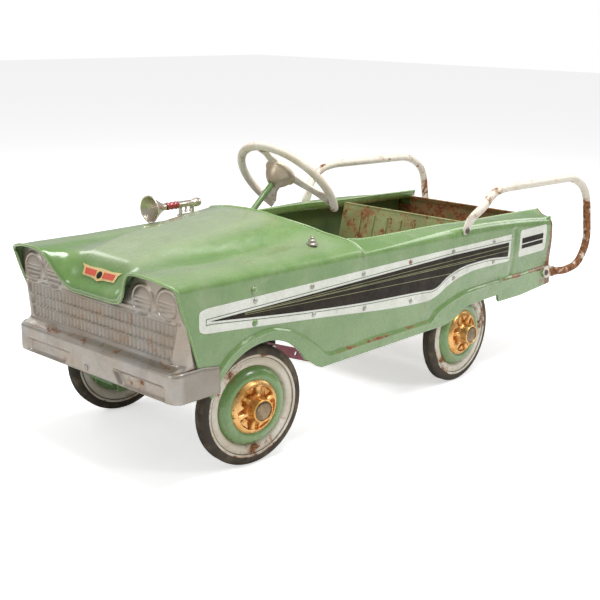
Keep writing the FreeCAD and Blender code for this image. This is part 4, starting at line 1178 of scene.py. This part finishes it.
def column_axes():
    """The column's direction, the wheel's upward and leftward directions, turned to rest."""
    tilt = math.radians(COLUMN_TILT)
    turn = math.radians(COLUMN_REST)
    along = np.array([-math.cos(tilt), 0, math.sin(tilt)])
    up = np.array([math.sin(tilt), 0, math.cos(tilt)])
    left = np.array([0.0, 1.0, 0.0])
    across = np.cross(along, up)
    turned_up = up * math.cos(turn) + across * math.sin(turn)
    turned_left = left * math.cos(turn) + np.cross(along, left) * math.sin(turn)
    return along, turned_up, turned_left


def column_point(along, across=0.0, aside=0.0):
    axis, up, left = column_axes()
    return COLUMN_CROSSING + axis * along + up * across + left * aside


def steering_wheel():
    """Open rim, three flared spokes, hub plate, bell and nut."""
    axis = column_axes()[0]
    angles = np.radians(np.linspace(-90 + RIM_GAP, 270 - RIM_GAP, 110))
    line = [column_point(HUB_PLANE, RIM_CENTRE + RIM_R * math.sin(a), RIM_R * math.cos(a)) for a in angles]
    rim = tube("steering_rim", line, 8.4, 20, lambda index, radius: (radius * 0.92, radius * 0.86), up=axis)
    rust = np.repeat(0.35 * (bump(0, 12, np.arange(110)) + bump(109, 12, np.arange(110))), 20)
    set_attribute(rim, "rust", rust)
    add_modifier(rim, "BEVEL", width=1.2 * MM, segments=2, limit_method="ANGLE",
                 angle_limit=math.radians(50))
    finished(rim, "cream", "steering", ("steering_wheel",))
    spokes = (("top", (0, 22), (0, 68), (14, 9, 23)), ("left", (16, -15), (82, -66), (14, 10, 17)),
              ("right", (-16, -15), (-82, -66), (14, 10, 17)))
    for name, start, end, widths in spokes:
        steps = np.linspace(0, 1, 18)
        line = []
        for t in steps:
            aside = start[0] + (end[0] - start[0]) * t
            across = start[1] + (end[1] - start[1]) * t
            line.append(column_point(HUB_PLANE + 7 - 5 * t, across, aside))
        wide = smooth_steps([0, 0.55, 1], widths, steps)
        spoke = tube("spoke_" + name, line, wide, 20, lambda index, radius: (radius, 4.2), up=axis)
        set_attribute(spoke, "rust", np.repeat(0.42 * step(0.5, 1.0, steps), 20))
        finished(spoke, "cream", "steering")
    turned("hub_plate", "cream", "steering", column_point(HUB_PLANE), axis,
           [(8, -1), (24, 0), (28, 2.5), (30, 6), (29, 9.5), (25, 11.5), (12, 12.5), (6, 12.6)], 56)
    turned("hub_bell", "cream_bell", "steering", column_point(HUB_PLANE), axis,
           [(6.2, -25), (9.5, -24.4), (13, -22), (18, -17), (22.5, -10.5), (26.0, -3.5), (27.4, 0.5),
            (30.4, 2.0), (30.8, 4.5), (28.5, 5.5)], 56, stands_for=("steering_bell",))
    turned("hub_nut", "steel", "steering", column_point(HUB_PLANE), axis,
           [(9.2, 12), (9.2, 16.5), (8.2, 18), (6.2, 19.5), (3.4, 20.6), (0.01, 21)], 24,
           stands_for=("steering_nut",))


# Luggage rails

RAIL_PATH = [(-558, 318), (-578, 349), (-624, 385), (-666, 391), (-950, 384), (-1012, 350), (-1036, 231),
             (-1000, 183), (-930, 178), (-884, 180)]
RAIL_BENDS = [0, 40, 40, 60, 50, 60, 60, 50, 40, 0]
RAIL_TUBE = 8.3
RAIL_OUT_Y = 222.5
FOOT_LONG = 34.0                # how much of each end is flattened
RAIL_FRONT_WALL = 206.0         # where each foot meets the body
RAIL_REAR_WALL = 203.0


def luggage_rail(side, mirror):
    """Bent tube with flattened, bolted ends."""
    corners = [np.array([x, 0.0, z]) for x, z in RAIL_PATH]
    line = bent_line(corners, RAIL_BENDS, 5.0)
    tip = line[0] + (line[0] - line[1]) / np.linalg.norm(line[0] - line[1]) * 9.0
    tail = line[-1] + (line[-1] - line[-2]) / np.linalg.norm(line[-1] - line[-2]) * 9.0
    line = np.concatenate([[tip], line, [tail]])
    along = np.concatenate([[0], np.cumsum(np.linalg.norm(np.diff(line, axis=0), axis=1))])
    from_end = np.minimum(along, along[-1] - along)
    flat = step(FOOT_LONG + 16, FOOT_LONG - 6, from_end)
    wall = np.where(along < along[-1] / 2, RAIL_FRONT_WALL, RAIL_REAR_WALL)
    foot_y = wall + 3.4
    to_wall = step(FOOT_LONG + 38, FOOT_LONG - 10, from_end)
    line[:, 1] = mirror * (RAIL_OUT_Y + (foot_y - RAIL_OUT_Y) * to_wall)
    round_end = np.sqrt(np.clip(1 - (1 - np.clip(from_end / 11.5, 0, 1)) ** 2, 0.0004, 1))
    wide = (RAIL_TUBE + 4.4 * flat) * round_end
    thick = (RAIL_TUBE - 5.3 * flat)

    def section(index, radius):
        return wide[index], thick[index]

    rail = tube(side + "_rail", line, wide, 18, section, up=(0, 1, 0))
    rear_leg = step(0.62, 0.70, along / along[-1]) * step(0.99, 0.95, along / along[-1])
    front = 0.14 * step(0.0, 0.08, along / along[-1]) * step(0.30, 0.2, along / along[-1])
    set_attribute(rail, "rust", np.repeat(0.55 * rear_leg + front + 0.12, 18))
    finished(rail, "rail", stands_for=(side + "_luggage_rail",))
    feet = ((*RAIL_PATH[0], RAIL_FRONT_WALL), (*RAIL_PATH[-1], RAIL_REAR_WALL))
    for number, (x, z, wall_y) in enumerate(feet):
        turned("%s_rail_bolt_%d" % (side, number), "old_bolt", BODY, (x, mirror * (wall_y + 6.0), z),
               (0, mirror, 0), [(6.2, 0), (6.4, 0.8), (6.0, 2.0), (4.6, 3.2), (2.2, 3.9), (0.01, 4.1)], 20,
               stands_for=("rail_bolts",) if side == "left" and number == 0 else ())


# Horn and fender bolt

HORN_Y = -165.0
HORN_Z = 367.0
HORN_BELL_X = -84.0             # the bell's lip
FENDER_BOLT = (-160.0, 165.0, 341.5)


def horn():
    """Bell with a rolled lip, red beaded neck and bright barrel."""
    ahead = (1, 0, 0)
    base = (HORN_BELL_X, HORN_Y, HORN_Z)
    turned("horn_bell_skin", "horn", BODY, base, ahead,
           [(6.2, -36), (6.8, -31), (8.2, -27), (11, -22), (14.6, -16), (18.4, -10), (21.8, -5),
            (24.2, -1.6), (25.4, 0), (25.6, 1.2), (25.0, 2.0), (24.0, 1.6), (22.6, -1), (19.8, -5.4),
            (16.2, -11), (12.4, -17), (8.8, -22.5), (6.0, -27), (3.4, -30),
            (0.01, -31)], 56, stands_for=("horn_bell",), sharp=60)
    neck = [(6.6, -38)]
    for number in range(3):
        middle_x = -43 - 9.5 * number
        neck += [(5.4, middle_x + 4.4), (6.4, middle_x + 3), (7.5, middle_x), (6.4, middle_x - 3),
                 (5.4, middle_x - 4.4)]
    neck += [(6.2, -68)]
    turned("horn_neck_skin", "red", BODY, base, ahead, neck, 36, stands_for=("horn_neck",))
    turned("horn_barrel_skin", "horn", BODY, base, ahead,
           [(5.2, -66), (6.8, -66.5), (6.9, -69), (6.1, -70), (6.1, -108), (6.6, -109), (8.2, -109.6),
            (8.6, -112), (8.4, -117), (7.2, -121), (4.6, -123.6), (0.01, -124.6)], 36,
           stands_for=("horn_barrel",), sharp=50)
    for number, x in enumerate((-160, -172, -184)):
        turned("horn_valve_%d" % number, "horn", BODY, (x, HORN_Y, HORN_Z - 5), (0, 0, -1),
               [(2.2, 0), (2.2, 7), (3.4, 7.6), (3.6, 9.4), (2.4, 10.6), (0.01, 11)], 16)


def fender_bolt():
    turned("fender_bolt", "steel", BODY, FENDER_BOLT, (0, 0, 1),
           [(9.5, 0), (9.5, 3.2), (8.6, 4.0), (6.6, 4.2), (6.6, 9.0), (5.4, 10), (4.0, 10.4), (4.0, 13.6),
            (2.6, 14.6), (0.01, 14.8)], 24, stands_for=("body_fasteners",), sharp=35)


# Carried-over CAD nodes: material by role

# Nodes by look; every other bearing is steel and every other node is black steel
CAD_LOOKS = {
    "seat": ("seat_pan", "seat_back"),
    "bed": ("cargo_floor", "tailgate"),
    "steel": ("kingpins", "rear_bearings", "body_fasteners", "steering_nut", "front_left_nut",
              "front_right_nut", "crank_axle", "rear_nuts", "left_pedal_bolt", "right_pedal_bolt"),
    # the darker green here is painted shade under the car
    "green_inside": ("undercarriage", "fender_brackets"),
    "cream": ("left_luggage_rail", "right_luggage_rail", "steering_wheel"),
    "bright": ("horn_bell", "horn_barrel", "horn_bracket", "steering_bell"),
    "red": ("horn_neck",),
    "green": ("steering_column",),
    "maroon": ("left_pedal_rod", "right_pedal_rod"),
    "pedal": ("left_pedal", "right_pedal"),
}


def paint_cad_nodes():
    looks = {node: look for look, nodes in CAD_LOOKS.items() for node in nodes}
    for node, obj in frame["nodes"].items():
        look = looks.get(node, "black_steel")
        if "bearing" in node:
            look = "steel"
        obj.data.materials.clear()
        obj.data.materials.append(MATERIALS[look])
        sharpen(obj, 35)


# Stage

WORLD_LIGHT = 0.38
FLOOR_GLOW = 0.55               # seen by the camera only, so that the pale floor stays pale
FLOOR_HALF = 12.0               # metres
LAMPS_AIM_Z = 0.2


def studio():
    """White surroundings, five soft round lamps and the floor."""
    world = bpy.data.worlds.new("studio")
    world.use_nodes = True
    tree = world.node_tree
    background = tree.nodes["Background"]
    background.inputs["Color"].default_value = (1, 1, 1, 1)
    seen = tree.nodes.new("ShaderNodeLightPath").outputs["Is Camera Ray"]
    strength = tree.nodes.new("ShaderNodeMath")
    strength.operation = "MULTIPLY_ADD"
    strength.inputs[1].default_value = 1.0 - WORLD_LIGHT
    strength.inputs[2].default_value = WORLD_LIGHT
    tree.links.new(seen, strength.inputs[0])
    tree.links.new(strength.outputs[0], background.inputs["Strength"])
    bpy.context.scene.world = world
    area_light("overhead", (0.1, 0.3, 2.2), 0.0, 1.3, 44)
    area_light("left_key", (-0.6, 2.4, 2.3), 0.0, 0.8, 16)
    area_light("front_fill", (2.8, -0.8, 1.5), 0.3, 1.2, 18)
    area_light("rear_fill", (-2.4, 0.6, 1.5), -0.3, 1.4, 14)
    area_light("right_fill", (0.2, -2.6, 1.6), 0.0, 1.5, 12)
    floor = white_floor()


def area_light(name, position, aim_x, size, watts):
    """A round lamp in metres, aimed at the car's centre line."""
    data = bpy.data.lights.new(name, "AREA")
    data.shape = "DISK"
    data.size = size
    data.energy = watts
    light = bpy.data.objects.new(name, data)
    light.location = position
    toward = Vector((aim_x, 0.0, LAMPS_AIM_Z)) - Vector(position)
    light.rotation_euler = toward.to_track_quat("-Z", "Y").to_euler()
    bpy.context.scene.collection.objects.link(light)


def white_floor():
    points = [(x * FLOOR_HALF, y * FLOOR_HALF, 0.0) for x, y in ((-1, -1), (1, -1), (1, 1), (-1, 1))]
    floor = mesh_object("floor", points, [(0, 1, 2, 3)], smooth=False)
    shader = Shader("white_floor")
    shader.surface.inputs["Base Color"].default_value = (0.9, 0.9, 0.9, 1)
    shader.surface.inputs["Roughness"].default_value = 0.9
    shader.surface.inputs["Emission Color"].default_value = (1, 1, 1, 1)
    seen = shader.add("ShaderNodeLightPath").outputs["Is Camera Ray"]
    shader.join(shader.math("MULTIPLY", seen, FLOOR_GLOW), shader.surface.inputs["Emission Strength"])
    floor.data.materials.append(shader.material)
    return floor


CAMERA_PLACE = (1.57198, 1.3155, 0.718)
CAMERA_YAW = 42.33              # degrees
CAMERA_PITCH = 15.14
CAMERA_ROLL = 1.02
CAMERA_LENS = 63.46             # on a 36 mm wide sensor


def camera():
    """The main view: from the front left, a little above the car."""
    yaw, pitch, roll = (math.radians(angle) for angle in (CAMERA_YAW, CAMERA_PITCH, CAMERA_ROLL))
    ahead = Vector((-math.cos(yaw) * math.cos(pitch), -math.sin(yaw) * math.cos(pitch), -math.sin(pitch)))
    right = ahead.cross(Vector((0, 0, 1))).normalized()
    up = right.cross(ahead)
    tilted_right = right * math.cos(roll) + up * math.sin(roll)
    tilted_up = up * math.cos(roll) - right * math.sin(roll)
    data = bpy.data.cameras.new("camera")
    data.sensor_width = 36
    data.lens = CAMERA_LENS
    data.shift_x = 0.0105
    data.shift_y = -0.0018
    obj = bpy.data.objects.new("camera", data)
    matrix = Matrix((tilted_right, tilted_up, -ahead)).transposed().to_4x4()
    obj.matrix_world = Matrix.Translation(CAMERA_PLACE) @ matrix
    bpy.context.scene.collection.objects.link(obj)
    bpy.context.scene.camera = obj
    bpy.context.scene.view_settings.view_transform = "Standard"


paint_cad_nodes()
body_skin()
rolled_edges()
for mirror_side, mirror_sign in (("left", 1), ("right", -1)):
    side_trim(mirror_side, mirror_sign)
front_pressing()
bumper_screw()
prow_plate()
wheels()
steering_wheel()
luggage_rail("left", 1)
luggage_rail("right", -1)
horn()
fender_bolt()
studio()
camera()
